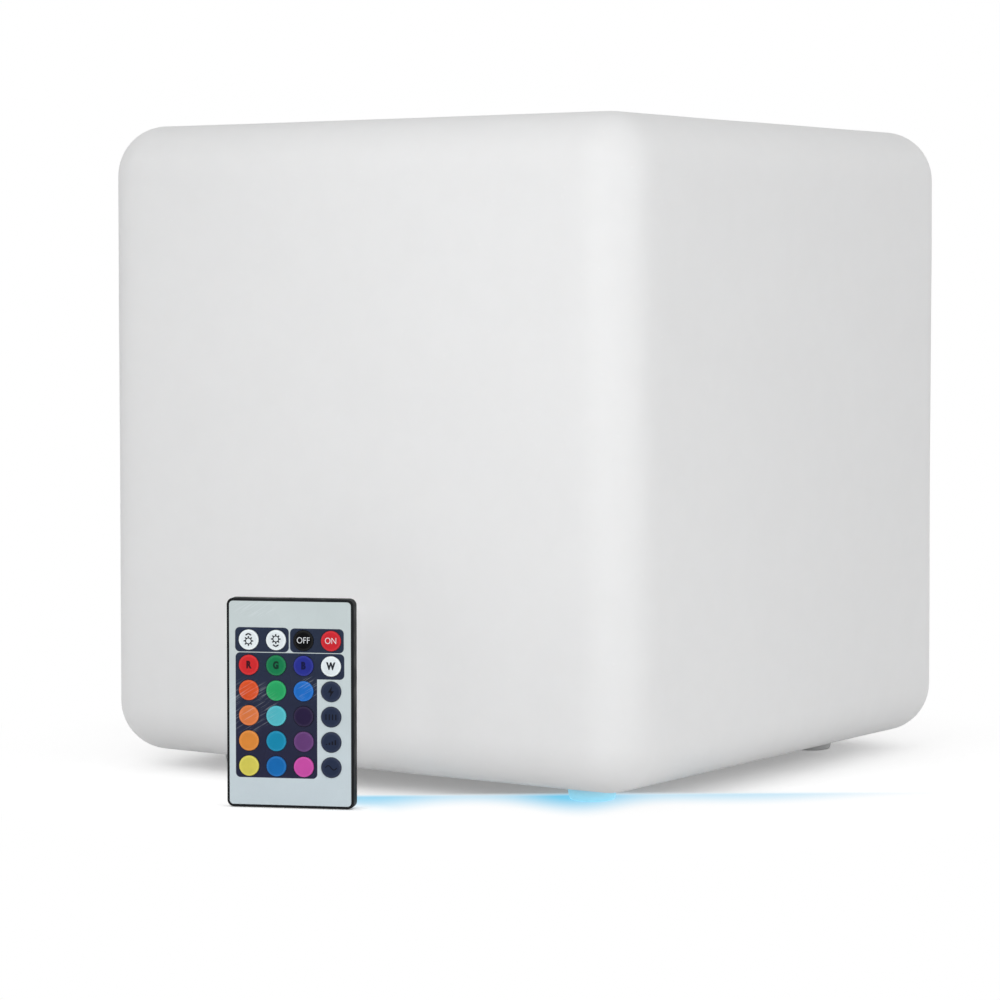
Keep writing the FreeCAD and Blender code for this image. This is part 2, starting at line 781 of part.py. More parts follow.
# ---------------------------------------------------------------------------------------------------
# Lights
# ---------------------------------------------------------------------------------------------------
def make_dome():
    """Diffuser dome over the inner pieces, on a thin seal."""
    foot = plate_top + S.dome_seal_thickness
    shoulder = foot + S.dome_side_height
    crown = shoulder + S.dome_rise
    crown_radius = dome_radius - S.dome_crown_inset
    mitre = S.dome_wall * math.tan(math.radians(22.5))
    body = new_body()
    outline = [
        (dome_inner_radius, foot),
        (dome_radius, foot),
        (dome_radius, shoulder),
        (crown_radius, crown),
        (0, crown),
        (0, crown - S.dome_wall),
        (crown_radius - mitre, crown - S.dome_wall),
        (dome_inner_radius, shoulder - mitre),
    ]
    revolve(body, outline)

    def is_shoulder(edge):
        height = edge.CenterOfMass.z
        return isinstance(edge.Curve, Part.Circle) and height > (shoulder - S.dome_wall).number

    round_edges(body, is_shoulder, S.dome_rise / 2)
    on_floor(body, "diffuser_dome")

    ring = cut(
        cylinder(0, 0, plate_top, dome_radius, S.dome_seal_thickness),
        cylinder(0, 0, plate_top - PAST, dome_inner_radius, S.dome_seal_thickness + PAST * 2),
    )
    on_floor(ring, "dome_seal")


def make_led_board():
    """Round board of the lights, on the posts."""
    body = new_body()
    sketch = new_sketch(body, "XY_Plane", led_board_under)
    draw_circle(sketch, 0, 0, led_board_radius)
    for angle in POST_ANGLES:
        x, y = around(post_circle_radius, angle)
        draw_circle(sketch, x, y, S.board_screw_radius + S.board_screw_gap)
    add_feature(body, "Pad", sketch, S.led_board_thickness)
    on_floor(body, "led_board")


def make_led_chips():
    """Two rings of square light chips."""
    chips = []
    for radius, count in ((S.led_inner_radius, INNER_CHIPS), (led_outer_radius, OUTER_CHIPS)):
        for step in range(count):
            x, y = around(radius, (step + 0.5) * 360 / count)
            chips.append(centred_box(x, y, led_board_top, S.led_size, S.led_size, S.led_height))
    on_floor(together(*chips), "led_chips")


def make_led_board_screws():
    """Screws through the light board into the posts."""
    screws = []
    for angle in POST_ANGLES:
        x, y = around(post_circle_radius, angle)
        depth = S.board_screw_length + S.led_board_thickness
        head = cylinder(x, y, led_board_top, S.board_screw_head_radius, S.board_screw_head_height)
        shank = cylinder(x, y, led_board_top - depth, S.board_screw_radius, depth + SUNK)
        slot = centred_box(
            x,
            y,
            led_board_top + S.board_screw_head_height / 2,
            S.board_screw_head_radius * 2 + PAST,
            S.board_screw_head_radius / 4,
            S.board_screw_head_height,
        )
        screws.append(cut(fuse(head, shank), slot))
    on_floor(together(*screws), "led_board_screws")


def make_ir_receiver():
    """Infrared receiver with its round lens, in the middle of the light board."""
    block = centred_box(0, 0, led_board_top, S.receiver_width, S.receiver_depth, S.receiver_height)
    lens = cylinder(
        0, -S.receiver_depth / 2, led_board_top, S.receiver_lens_radius, S.receiver_height * 0.8
    )
    on_floor(fuse(block, lens), "ir_receiver")


# ---------------------------------------------------------------------------------------------------
# Battery and control board
# ---------------------------------------------------------------------------------------------------
def make_battery():
    """Two round cells in an open holder."""
    centre_y = S.holder_start_y + holder_width / 2
    outside = centred_box(0, centre_y, plate_top, holder_length, holder_width, holder_height)
    inside = centred_box(
        0, centre_y, plate_top + S.holder_wall, holder_inner_length, holder_inner_width, holder_height
    )
    springs = []
    cells = []
    for side in (-0.5, 0.5):
        y = centre_y + cell_pitch * side
        cells.append(
            cylinder(-S.cell_length / 2, y, cell_height, S.cell_radius, S.cell_length, along="x")
        )
        for end in (-1, 1):
            start = holder_inner_length / 2 * end
            x = start if end < 0 else start - S.cell_end_room
            springs.append(
                cylinder(x, y, cell_height, S.cell_radius * 0.4, S.cell_end_room, along="x")
            )
    on_floor(fuse(cut(outside, inside), *springs), "battery_holder")
    on_floor(together(*cells), "battery_cells")


def make_control_board():
    """Control board on its standoffs, with its chips, coil and connectors."""
    board = centred_box(
        0, board_centre_y, board_under, S.board_length, S.board_width, S.board_thickness
    )
    on_floor(board, "control_board")

    def chip(right, back, size_x, size_y, height):
        """Chip at shares of the board's half length and half width from its middle."""
        x, y = S.board_length / 2 * right, board_centre_y + S.board_width / 2 * back
        return centred_box(x, y, board_top, size_x, size_y, height)

    coil_x = S.board_length / 2 * -0.6
    coil_y = board_centre_y - S.board_width / 4
    chips = [
        chip(-0.24, 0, S.driver_length, S.driver_width, S.chip_height),
        chip(0.3, 0.2, S.charger_length, S.charger_width, S.chip_height),
        chip(0.6, -0.4, S.choke_size, S.choke_size, S.coil_height),
        chip(0.12, -0.6, S.clock_length, S.clock_width, S.chip_height),
        cylinder(coil_x, coil_y, board_top, S.coil_radius, S.coil_height),
    ]
    for side in (-1, 1):
        chips.append(
            centred_box(
                connector_x * side,
                connector_y,
                board_top,
                S.connector_width,
                S.connector_depth,
                S.connector_height,
            )
        )
    on_floor(together(*chips), "control_chips")


def make_button():
    """Power button in the base plate, the switch above it and the seal round it."""
    plunger_under = board_under - S.switch_body_height - S.plunger_height
    button_top = plunger_under - S.button_travel - S.button_rest_gap
    flange_under = plate_top + S.button_rest_gap
    flange_top = flange_under + S.button_flange_thickness
    button_under = plate_under - S.button_proud
    body = new_body()
    outline = [
        (0, button_under),
        (S.button_radius, button_under),
        (S.button_radius, flange_under),
        (button_flange_radius, flange_under),
        (button_flange_radius, flange_top),
        (S.button_stem_radius, flange_top),
        (S.button_stem_radius, button_top),
        (0, button_top),
    ]
    revolve(body, outline)

    def is_rim(edge):
        return isinstance(edge.Curve, Part.Circle) and edge.CenterOfMass.z < button_under.number + 0.1

    round_edges(body, is_rim, S.button_proud / 2)
    move_to(body, button_x, board_centre_y, 0)
    on_floor(body, "power_button")

    switch_under = board_under - S.switch_body_height
    housing = centred_box(
        button_x, board_centre_y, switch_under, S.switch_size, S.switch_size, S.switch_body_height
    )
    plunger = cylinder(
        button_x, board_centre_y, plunger_under, S.plunger_radius, S.plunger_height + SUNK
    )
    on_floor(fuse(housing, plunger), "tact_switch")

    seal_inner = button_flange_radius + S.button_gap
    seal_outer = seal_inner + S.button_seal_width
    ring = cut(
        cylinder(button_x, board_centre_y, plate_top, seal_outer, S.button_seal_height),
        cylinder(button_x, board_centre_y, plate_top - PAST, seal_inner, S.button_seal_height + PAST * 2),
    )
    on_floor(ring, "button_seal")


def make_charging_socket():
    """Round charging socket with its centre pin, the flap, the flap's pin and the charge light."""
    jack_under = plate_under + flap_pocket_depth
    jack = cut(
        cylinder(jack_x, jack_y, jack_under, S.jack_radius, board_under - jack_under),
        cylinder(jack_x, jack_y, jack_under - PAST, S.jack_radius - S.jack_wall, S.jack_bore_depth + PAST),
    )
    pin = cylinder(
        jack_x,
        jack_y,
        jack_under + S.jack_pin_setback,
        S.jack_pin_radius,
        S.jack_bore_depth - S.jack_pin_setback + SUNK,
    )
    on_floor(fuse(jack, pin), "charge_jack")

    flap_under = plate_under + S.flap_setback
    half = S.flap_knuckle_length / 2
    disc = cylinder(jack_x, jack_y, flap_under, S.flap_radius, S.flap_thickness)
    ear = box(
        jack_x - half, jack_y, flap_under, half * 2, flap_pin_offset, S.flap_thickness
    )
    knuckle = cylinder(
        jack_x - half, flap_pin_y, flap_pin_z, flap_knuckle_radius, half * 2, along="x"
    )
    bore = cylinder(
        jack_x - half - PAST,
        flap_pin_y,
        flap_pin_z,
        S.flap_pin_radius + S.flap_pin_fit,
        (half + PAST) * 2,
        along="x",
    )
    on_floor(cut(fuse(disc, ear, knuckle), bore), "jack_cover")

    pin_reach = pin_slot_half + S.flap_pin_grip
    hinge_pin = cylinder(
        jack_x - pin_reach, flap_pin_y, flap_pin_z, S.flap_pin_radius, pin_reach * 2, along="x"
    )
    on_floor(hinge_pin, "cover_pin")

    light = cylinder(0, light_y, plate_under, S.light_radius, board_under - plate_under)
    on_floor(light, "charge_light")


def lead(points, bend, radius):
    """Round wire along straight runs joined by tangent arcs."""
    points = [FreeCAD.Vector(*point) for point in points]
    edges = []
    start = points[0]
    for before, corner, after in zip(points, points[1:], points[2:]):
        back = (before - corner).normalize()
        ahead = (after - corner).normalize()
        half_turn = back.getAngle(ahead) / 2
        reach = bend / math.tan(half_turn)
        middle = corner + (back + ahead).normalize() * (bend / math.sin(half_turn) - bend)
        entry = corner + back * reach
        leave = corner + ahead * reach
        edges.append(Part.LineSegment(start, entry).toShape())
        edges.append(Part.Arc(entry, middle, leave).toShape())
        start = leave
    edges.append(Part.LineSegment(start, points[-1]).toShape())
    path = Part.Wire(edges)
    section = Part.Wire(Part.Circle(points[0], points[1] - points[0], radius).toShape())
    wire = path.makePipeShell([section], True, False)
    print("lead", round(path.Length, 1), "long, volume ratio",
          round(wire.Volume / (math.pi * radius**2 * path.Length), 3))
    return wire


def make_leads():
    """Two leads from the battery, and four up to the light board."""
    bend, radius, pitch = S.lead_bend.number, S.lead_radius.number, S.lead_pitch.number
    top, y = connector_top.number, connector_y.number
    far_y = y - S.lead_offset.number
    reach = connector_x.number
    wall = S.holder_start_y.number
    high = top + bend + S.lead_rise.number
    battery = []
    for side in (-0.5, 0.5):
        x = -reach + side * pitch
        battery.append(lead([(x, wall, high), (x, y, high), (x, y, top)], bend, radius))
    under = led_board_under.number
    straight = (under - top) * 0.3
    lights = []
    for side in (-1.5, -0.5, 0.5, 1.5):
        x = reach + side * pitch
        route = [(x, y, top), (x, y, top + straight), (x, far_y, under - straight), (x, far_y, under)]
        lights.append(lead(route, bend, radius))
    for label, wires in (("battery_leads", battery), ("led_leads", lights)):
        item = doc.addObject("Part::Feature", "Leads")
        item.Shape = Part.Compound(wires)
        item.Placement = FreeCAD.Placement()
        on_floor(item, label)


# ---------------------------------------------------------------------------------------------------
# Handset
# ---------------------------------------------------------------------------------------------------
def key_places():
    """Name, place across and place up of each key."""
    places = []
    for row, names in enumerate(KEY_ROWS):
        for column, name in enumerate(names):
            across = key_pitch_across * (column - 1.5)
            up = S.handset_length / 2 + key_pitch_down * (2.5 - row)
            places.append((name, across, up))
    return places


def handset_plate(body, front, thickness, gap, hole_radius):
    """Plate inside the rim with a hole for each key; the sketch lies at its front face."""
    sketch = new_sketch(body, "XZ_Plane", -front)
    draw_rectangle(sketch, -inner_half + gap, inner_low + gap, inner_half - gap, inner_high - gap)
    for name, across, up in key_places():
        draw_circle(sketch, across, up, hole_radius)
    add_feature(body, "Pad", sketch, thickness, turned=True)
    middle = (S.handset_length / 2).number

    def is_corner(edge):
        far_x = abs(edge.CenterOfMass.x) > (inner_half - 1).number
        far_z = abs(edge.CenterOfMass.z - middle) > middle - (S.rim + 1).number
        return is_straight(edge, 1) and far_x and far_z

    round_edges(body, is_corner, S.handset_corner - S.rim)


def make_remote_case():
    """Case with a thin rim, open to the front, with posts, a tray slot and a hole for the light."""
    body = new_body()
    block = new_sketch(body, "XZ_Plane")
    draw_rectangle(block, -half_width, 0, half_width, S.handset_length)
    add_feature(body, "Pad", block, handset_depth, turned=True)
    round_edges(body, lambda edge: is_straight(edge, 1), S.handset_corner)
    back = handset_depth.number
    round_edges(body, lambda edge: edge.BoundBox.YMin > back - 0.01, S.handset_back_edge)

    hollow = new_sketch(body, "XZ_Plane")
    draw_rectangle(hollow, -inner_half, inner_low, inner_half, inner_high)
    add_feature(body, "Pocket", hollow, case_inside)
    inside = inner_half.number + 0.01
    round_edges(
        body,
        lambda edge: is_straight(edge, 1) and abs(edge.CenterOfMass.x) < inside,
        S.handset_corner - S.rim,
    )

    posts = new_sketch(body, "XZ_Plane", -remote_board_back)
    for sx in (-1, 1):
        for up in (S.case_post_inset, S.handset_length - S.case_post_inset):
            draw_circle(posts, (half_width - S.case_post_inset) * sx, up, S.case_post_radius)
    add_feature(body, "Pad", posts, case_inside - remote_board_back + SUNK, turned=True)

    slot = new_sketch(body, "XY_Plane")
    slot_half = tray_width / 2 + S.tray_gap
    draw_rectangle(slot, -slot_half, coin_front - S.tray_gap, slot_half, coin_back + S.tray_gap)
    add_feature(body, "Pocket", slot, S.rim + SUNK, turned=True)

    eye = new_sketch(body, "XY_Plane", S.handset_length)
    draw_circle(eye, 0, eye_depth, S.ir_radius + S.ir_fit)
    add_feature(body, "Pocket", eye, S.rim + SUNK)
    on_handset(body, "remote_case")


def make_remote_plates():
    """Front plate behind the face sheet, and the face sheet itself."""
    hole = S.key_radius + S.key_gap
    front = new_body()
    handset_plate(front, front_face, S.front_thickness, S.sheet_gap, hole)
    on_handset(front, "remote_front")
    face_sheet = new_body()
    handset_plate(face_sheet, 0, S.sheet_thickness, S.sheet_gap, hole)
    on_handset(face_sheet, "remote_overlay")


def make_remote_board():
    """Board with a snap dome under each key, the infrared light and a chip."""
    gap = S.remote_board_gap
    board = box(
        -inner_half + gap,
        remote_board_front,
        inner_low + gap,
        (inner_half - gap) * 2,
        S.remote_board_thickness,
        inner_high - inner_low - gap * 2,
    )
    on_handset(together(board), "remote_board")

    domes = []
    for name, across, up in key_places():
        domes.append(
            cylinder(across, snap_dome_front, up, S.key_stub_radius, S.snap_dome_height, along="y")
        )
    on_handset(together(*domes), "remote_domes")

    eye_start = S.handset_length - S.ir_length - S.ir_setback
    barrel = cylinder(0, eye_depth, eye_start, S.ir_radius, S.ir_length)
    collar = cylinder(0, eye_depth, eye_start, S.ir_radius + S.ir_collar, S.ir_collar_length)
    on_handset(fuse(barrel, collar), "remote_ir_led")

    chip = box(
        -S.remote_chip_length / 2,
        remote_board_back,
        S.handset_length - S.remote_chip_drop,
        S.remote_chip_length,
        S.remote_chip_height,
        S.remote_chip_width,
    )
    on_handset(together(chip), "remote_chip")


def make_battery_tray():
    """Tray that slides out at the bottom edge, the coin cell in it and the two contacts."""
    body = new_body()
    frame = new_sketch(body, "XZ_Plane", -coin_front)
    draw_rectangle(frame, -tray_width / 2, S.tray_gap, tray_width / 2, tray_height)
    add_feature(body, "Pad", frame, S.coin_thickness - S.tray_step, turned=True)
    ring = new_sketch(body, "XZ_Plane", -coin_front)
    draw_circle(ring, 0, coin_height, S.coin_radius + S.coin_gap)
    add_feature(body, "Pocket", ring, S.coin_thickness + PAST)
    grip = new_sketch(body, "XY_Plane")
    draw_rectangle(
        grip, -tray_width / 4, coin_front - PAST, tray_width / 4, coin_front + S.coin_thickness * 0.3
    )
    add_feature(body, "Pocket", grip, S.rim * 0.6, turned=True)
    on_handset(body, "battery_tray")

    coin = cylinder(0, coin_front, coin_height, S.coin_radius, S.coin_thickness, along="y")
    on_handset(together(coin), "coin_cell")

    flat = box(
        -S.contact_width / 2,
        remote_board_back,
        coin_height - S.contact_width / 2,
        S.contact_width,
        S.contact_thickness,
        S.contact_width,
    )
    upright = box(
        -S.contact_width / 2,
        remote_board_back,
        tray_height + S.contact_setback,
        S.contact_width,
        S.coin_thickness,
        S.contact_thickness,
    )
    on_handset(together(flat, upright), "battery_contacts")


def make_key(name, across, up):
    """Round rubber key with a flange behind the front plate; it's turned about its own axis."""
    body = new_body()
    sketch = new_sketch(body, "XY_Plane")
    outline = [
        (0, -S.key_proud),
        (S.key_radius, -S.key_proud),
        (S.key_radius, flange_front),
        (key_flange_radius, flange_front),
        (key_flange_radius, flange_back),
        (S.key_stub_radius, flange_back),
        (S.key_stub_radius, key_back),
        (0, key_back),
    ]
    draw_outline(sketch, outline)
    turn = body.newObject("PartDesign::Revolution", "Revolution")
    turn.Profile = sketch
    turn.ReferenceAxis = (sketch, ["V_Axis"])
    turn.Angle = 360
    doc.recompute()
    crown = -S.key_proud.number + 0.01
    round_edges(
        body,
        lambda edge: isinstance(edge.Curve, Part.Circle) and edge.CenterOfMass.y < crown,
        S.key_edge,
    )
    on_handset(body, f"key_{name}", across, up)


# ---------------------------------------------------------------------------------------------------
# Build, check and write
# ---------------------------------------------------------------------------------------------------
make_shell()
make_shell_underside()
make_rubber_feet()
make_thread_inserts()
make_base_seal()
make_base_plate()
make_base_screws()
make_dome()
make_led_board()
make_led_chips()
make_led_board_screws()
make_ir_receiver()
make_battery()
make_control_board()
make_button()
make_charging_socket()
make_leads()
make_remote_case()
make_remote_plates()
make_remote_board()
make_battery_tray()
for key_name, key_across, key_up in key_places():
    make_key(key_name, key_across, key_up)

doc.recompute()
for item in doc.Objects:
    if "Invalid" in item.State or "Error" in item.State:
        raise RuntimeError(f"{item.Name} ({item.Label}) failed: {item.State}")
for item in subparts:
    if item.Shape.isNull() or not item.Shape.isValid() or not item.Shape.Solids:
        raise RuntimeError(f"{item.Label} has no valid solid")
for item in subparts:
    item.Shape.exportStep(f"parts/{item.Label}.step")
    bounds = item.Shape.BoundBox
    print(
        f"{item.Label}: {len(item.Shape.Solids)} solid(s), {item.Shape.Volume:.1f} mm3,",
        f"x {bounds.XMin:.1f}..{bounds.XMax:.1f}, y {bounds.YMin:.1f}..{bounds.YMax:.1f},",
        f"z {bounds.ZMin:.1f}..{bounds.ZMax:.1f}",
    )
print(len(subparts), "sub-parts")
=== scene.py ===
# %% [markdown]
# # An LED cube light and its remote handset
# The lamp is a rotomoulded cube of milky plastic that glows from inside, and a slim handset with 24
# round keys stands in front of it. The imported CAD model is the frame: it says where every piece is
# and how it moves. This lesson gives that frame its looks, one piece and one finish at a time.

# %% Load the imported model
import math

import bmesh
import bpy
from mathutils import Matrix, Vector, noise


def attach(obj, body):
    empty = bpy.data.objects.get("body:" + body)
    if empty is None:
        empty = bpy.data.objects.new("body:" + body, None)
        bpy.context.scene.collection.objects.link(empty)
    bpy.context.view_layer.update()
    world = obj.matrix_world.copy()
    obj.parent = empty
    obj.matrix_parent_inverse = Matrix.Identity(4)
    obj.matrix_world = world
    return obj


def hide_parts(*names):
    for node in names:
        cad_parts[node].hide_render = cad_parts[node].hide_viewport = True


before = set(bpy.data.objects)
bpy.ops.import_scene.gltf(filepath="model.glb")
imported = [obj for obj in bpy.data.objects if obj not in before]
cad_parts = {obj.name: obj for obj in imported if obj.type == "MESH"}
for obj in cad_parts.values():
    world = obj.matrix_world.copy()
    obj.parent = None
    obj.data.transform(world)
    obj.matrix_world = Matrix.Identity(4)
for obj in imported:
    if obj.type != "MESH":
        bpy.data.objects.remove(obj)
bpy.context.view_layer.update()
MM = 0.001


def new_object(name, data):
    """A new object in the scene."""
    thing = bpy.data.objects.new(name, data)
    bpy.context.scene.collection.objects.link(thing)
    return thing


# %% [markdown]
# ## The camera
# A product picture of a cube lives from its viewing angle. This camera stands almost level with the
# cube and 34 degrees round from its wide side, far enough away that the verticals stay nearly
# parallel. The long lens does that; moving closer with a short lens would flare the cube's corners.

# %% Camera
CUBE_SIZE = 280.0
SHELL_UNDER = 7.5
CUBE_CENTRE = Vector((0, 0, SHELL_UNDER + CUBE_SIZE / 2)) * MM
VIEW_TURN = math.radians(34.108)
VIEW_RISE = math.radians(2.605)
VIEW_DISTANCE = 1.5295

towards_camera = Vector((
    math.sin(VIEW_TURN) * math.cos(VIEW_RISE),
    -math.cos(VIEW_TURN) * math.cos(VIEW_RISE),
    math.sin(VIEW_RISE),
))
camera = new_object("camera", bpy.data.cameras.new("camera"))
camera.location = CUBE_CENTRE + towards_camera * VIEW_DISTANCE
camera.rotation_euler = (-towards_camera).to_track_quat("-Z", "Y").to_euler()
camera.data.sensor_width = 36
camera.data.lens = 120.04
camera.data.shift_x = -0.0334
camera.data.shift_y = -0.0645
camera.data.clip_end = 50
bpy.context.scene.camera = camera
print("camera at", [round(value, 3) for value in camera.location])

# %% [markdown]
# ## A short way to write shader nodes
# Materials here are node trees written in code. Written out in full, each node takes three or four
# lines, and a reader loses the thread. A few helpers keep the trees readable: put places a node and
# fills or joins its inputs, calc does arithmetic on them, and product, total and less are the three
# sums that come again and again.

# %% Placing nodes and joining them
def put(tree, kind, inputs=None, **settings):
    """Place a shader node, set it up, and fill or join its inputs."""
    node = tree.nodes.new("ShaderNode" + kind)
    for name, value in settings.items():
        setattr(node, name, value)
    for name, value in (inputs or {}).items():
        fill(tree, node.inputs[name], value)
    return node


def fill(tree, socket, value):
    """Join a socket to an output, or set its value."""
    if isinstance(value, bpy.types.NodeSocket):
        tree.links.new(value, socket)
    elif value is not None:
        socket.default_value = value


def calc(tree, operation, *values):
    """Arithmetic on outputs and numbers."""
    node = tree.nodes.new("ShaderNodeMath")
    node.operation = operation
    for socket, value in zip(node.inputs, values):
        fill(tree, socket, value)
    return node.outputs[0]


def product(tree, *values):
    """Multiply outputs and numbers."""
    result = values[0]
    for value in values[1:]:
        result = calc(tree, "MULTIPLY", result, value)
    return result


def total(tree, first, second):
    """Add two outputs or numbers."""
    return calc(tree, "ADD", first, second)


def less(tree, value, part):
    """Take one output or number from another."""
    return calc(tree, "SUBTRACT", value, part)


print("placing and arithmetic ready")

# %% [markdown]
# ## Where a point lies, and how cloudy it is there
# A finish changes over a piece, so it starts from the place of each point. The piece's own
# coordinates are used, in metres, because they ride along when a key is pressed or the handset is
# lifted. Noise of a chosen size, the distance from a line and the length of a vector are then short
# words of their own.

# %% Places, noise and distances
def object_place(tree):
    """Places on the piece itself, in metres."""
    return put(tree, "TexCoord").outputs["Object"]


def cloud(tree, place, scale, detail):
    """Cloudy noise between 0 and 1."""
    return put(tree, "TexNoise", {"Vector": place, "Scale": scale, "Detail": detail}).outputs["Fac"]


def distance_from(tree, x, y):
    """Length of the way given by two components."""
    return calc(tree, "SQRT", total(tree, product(tree, x, x), product(tree, y, y)))


def parts(tree, vector):
    """The components of a vector: X, Y and Z."""
    return put(tree, "SeparateXYZ", {"Vector": vector}).outputs


def length(tree, vector):
    """The length of a vector."""
    return put(tree, "VectorMath", {"Vector": vector}, operation="LENGTH").outputs["Value"]


def scaled(tree, vector, factor):
    """A vector or colour times a factor."""
    return put(tree, "VectorMath", {"Vector": vector, "Scale": factor}, operation="SCALE").outputs["Vector"]


print("places and noise ready")

# %% [markdown]
# ## Ranges and colours
# Noise comes out between 0 and 1, and what a shader needs is a roughness between two ends, so spread
# stretches a value from one range to another. Colours are given as the eye reads them, 0 to 255, and
# turned into the linear values that light is added up in.

# %% Ranges and colours
def paler(colour, factor, lift):
    """A lighter neighbour of a colour, never past white."""
    return tuple(min(1.0, value * factor + lift) for value in colour[:3]) + (1.0,)


def spread(tree, value, low, high, out_low=0.0, out_high=1.0):
    """Stretch a value from one range to another, smoothly and within its ends."""
    inputs = {"Value": value, "From Min": low, "From Max": high, "To Min": out_low, "To Max": out_high}
    return put(tree, "MapRange", inputs, interpolation_type="SMOOTHSTEP").outputs["Result"]


def between(tree, share, low, high):
    """Turn a share, 0 to 1, into a value between two ends."""
    return spread(tree, share, 0.0, 1.0, low, high)


def mix(tree, factor, first, second):
    """Mix two colours by a factor."""
    node = put(tree, "Mix", data_type="RGBA")
    fill(tree, node.inputs[0], factor)
    fill(tree, node.inputs[6], first)
    fill(tree, node.inputs[7], second)
    return node.outputs[2]


def seen(red, green, blue):
    """A colour as the eye reads it, 0 to 255, as linear values."""
    values = []
    for value in (red, green, blue):
        share = value / 255
        values.append(share / 12.92 if share <= 0.04045 else ((share + 0.055) / 1.055) ** 2.4)
    return (*values, 1.0)


print("seen(218, 218, 218) is", [round(value, 3) for value in seen(218, 218, 218)[:3]])

# %% [markdown]
# ## Groups of nodes
# A group is a small machine with named inputs and outputs, built once and placed in many materials.
# Its sockets belong to its interface, and they are made there before any node is joined to them.

# %% Starting and placing a group
def start_group(name, inputs, *outputs):
    """An empty node group; what is called Colour is a colour, and all else are numbers."""
    group = bpy.data.node_groups.new(name, "ShaderNodeTree")
    for side, labels in (("INPUT", inputs), ("OUTPUT", outputs)):
        for label in labels:
            kind = "NodeSocketColor" if label == "Colour" else "NodeSocketFloat"
            socket = group.interface.new_socket(label, in_out=side, socket_type=kind)
            if side == "INPUT":
                socket.default_value = inputs[label]
    return group, group.nodes.new("NodeGroupInput").outputs, group.nodes.new("NodeGroupOutput").inputs


def use(tree, group, **values):
    """Place a node group; an underscore in a name stands for a space."""
    node = tree.nodes.new("ShaderNodeGroup")
    node.node_tree = group
    for name, value in values.items():
        fill(tree, node.inputs[name.replace("_", " ")], value)
    return node.outputs


print("group helpers ready")

# %% [markdown]
# ## Effects that many finishes share
# Moulded plastic is never perfectly even. Its skin carries a fine grain, its colour drifts a little
# over the piece, and handling leaves edges a touch brighter and faces a touch dusty. Each effect is
# built once as a node group, and every material places it with its own scale and strength. The
# alternative, painting each material from scratch, makes them disagree about what plastic is.

# %% Grain, drift, wear and dust
def make_grain():
    """Fine bumps of a moulded or cast skin."""
    group, given, out = start_group("skin grain", {"Scale": 900.0, "Coarse": 0.4}, "Height", "Mottle")
    place, scale = object_place(group), given["Scale"]
    cells = put(group, "TexVoronoi", {"Vector": place, "Scale": product(group, scale, 0.45)})
    height = put(group, "Mix")
    fill(group, height.inputs[0], given["Coarse"])
    fill(group, height.inputs[2], cloud(group, place, scale, 4.0))
    fill(group, height.inputs[3], cells.outputs["Distance"])
    fill(group, out["Height"], height.outputs[0])
    wide = cloud(group, place, product(group, scale, 0.06), 3.0)
    fill(group, out["Mottle"], spread(group, wide, 0.32, 0.68))
    return group


def make_drift():
    """Slow change of a colour over a piece."""
    inputs = {"Colour": (0.8, 0.8, 0.8, 1.0), "Amount": 0.04, "Scale": 18.0}
    group, given, out = start_group("colour drift", inputs, "Colour")
    slow = cloud(group, object_place(group), given["Scale"], 5.0)
    low, high = less(group, 1.0, given["Amount"]), total(group, 1.0, given["Amount"])
    factor = spread(group, slow, 0.3, 0.7, low, high)
    fill(group, out["Colour"], scaled(group, given["Colour"], factor))
    return group


def make_wear():
    """Mask of the sharper outer edges, broken up by noise."""
    group, given, out = start_group("edge wear", {"Amount": 0.5, "Scale": 300.0}, "Mask")
    sharp = put(group, "NewGeometry").outputs["Pointiness"]
    edge = spread(group, sharp, 0.52, 0.60)
    patch = spread(group, cloud(group, object_place(group), given["Scale"], 6.0), 0.42, 0.62)
    fill(group, out["Mask"], product(group, edge, patch, given["Amount"]))
    return group


def make_dust():
    """Mask of fine dust that settles on what faces up."""
    group, given, out = start_group("settled dust", {"Amount": 0.3, "Scale": 220.0}, "Mask")
    facing = parts(group, put(group, "NewGeometry").outputs["Normal"])
    flat = spread(group, facing["Z"], 0.2, 0.95)
    soft = spread(group, cloud(group, object_place(group), given["Scale"], 8.0), 0.45, 0.75)
    fill(group, out["Mask"], product(group, flat, soft, given["Amount"]))
    return group


GRAIN = make_grain()
DRIFT = make_drift()
WEAR = make_wear()
DUST = make_dust()
print("shared effects:", [group.name for group in (GRAIN, DRIFT, WEAR, DUST)])

# %% [markdown]
# ## One recipe for plain solid finishes
# Plastics, rubbers and metals differ in a few numbers: colour, roughness, how deep the grain is, how
# much the edges are worn. One function builds all of them from the shared effects, so a new finish
# is one line. Numbers that are the same all over go straight onto the shader's own sockets.

# %% A solid finish
def new_material(name):
    """An empty material with its shader."""
    material = bpy.data.materials.new(name)
    material.use_nodes = True
    tree = material.node_tree
    return material, tree, tree.nodes["Principled BSDF"]


def dress(tree, shader, colour, rough, bump, numbers):
    """Give a shader its colour, roughness, bump (height, strength, distance) and own numbers."""
    tilt = put(tree, "Bump", dict(zip(("Height", "Strength", "Distance"), bump))).outputs["Normal"]
    inputs = {"Base Color": colour, "Roughness": rough, "Normal": tilt, **numbers}
    for name, value in inputs.items():
        fill(tree, shader.inputs[name], value)


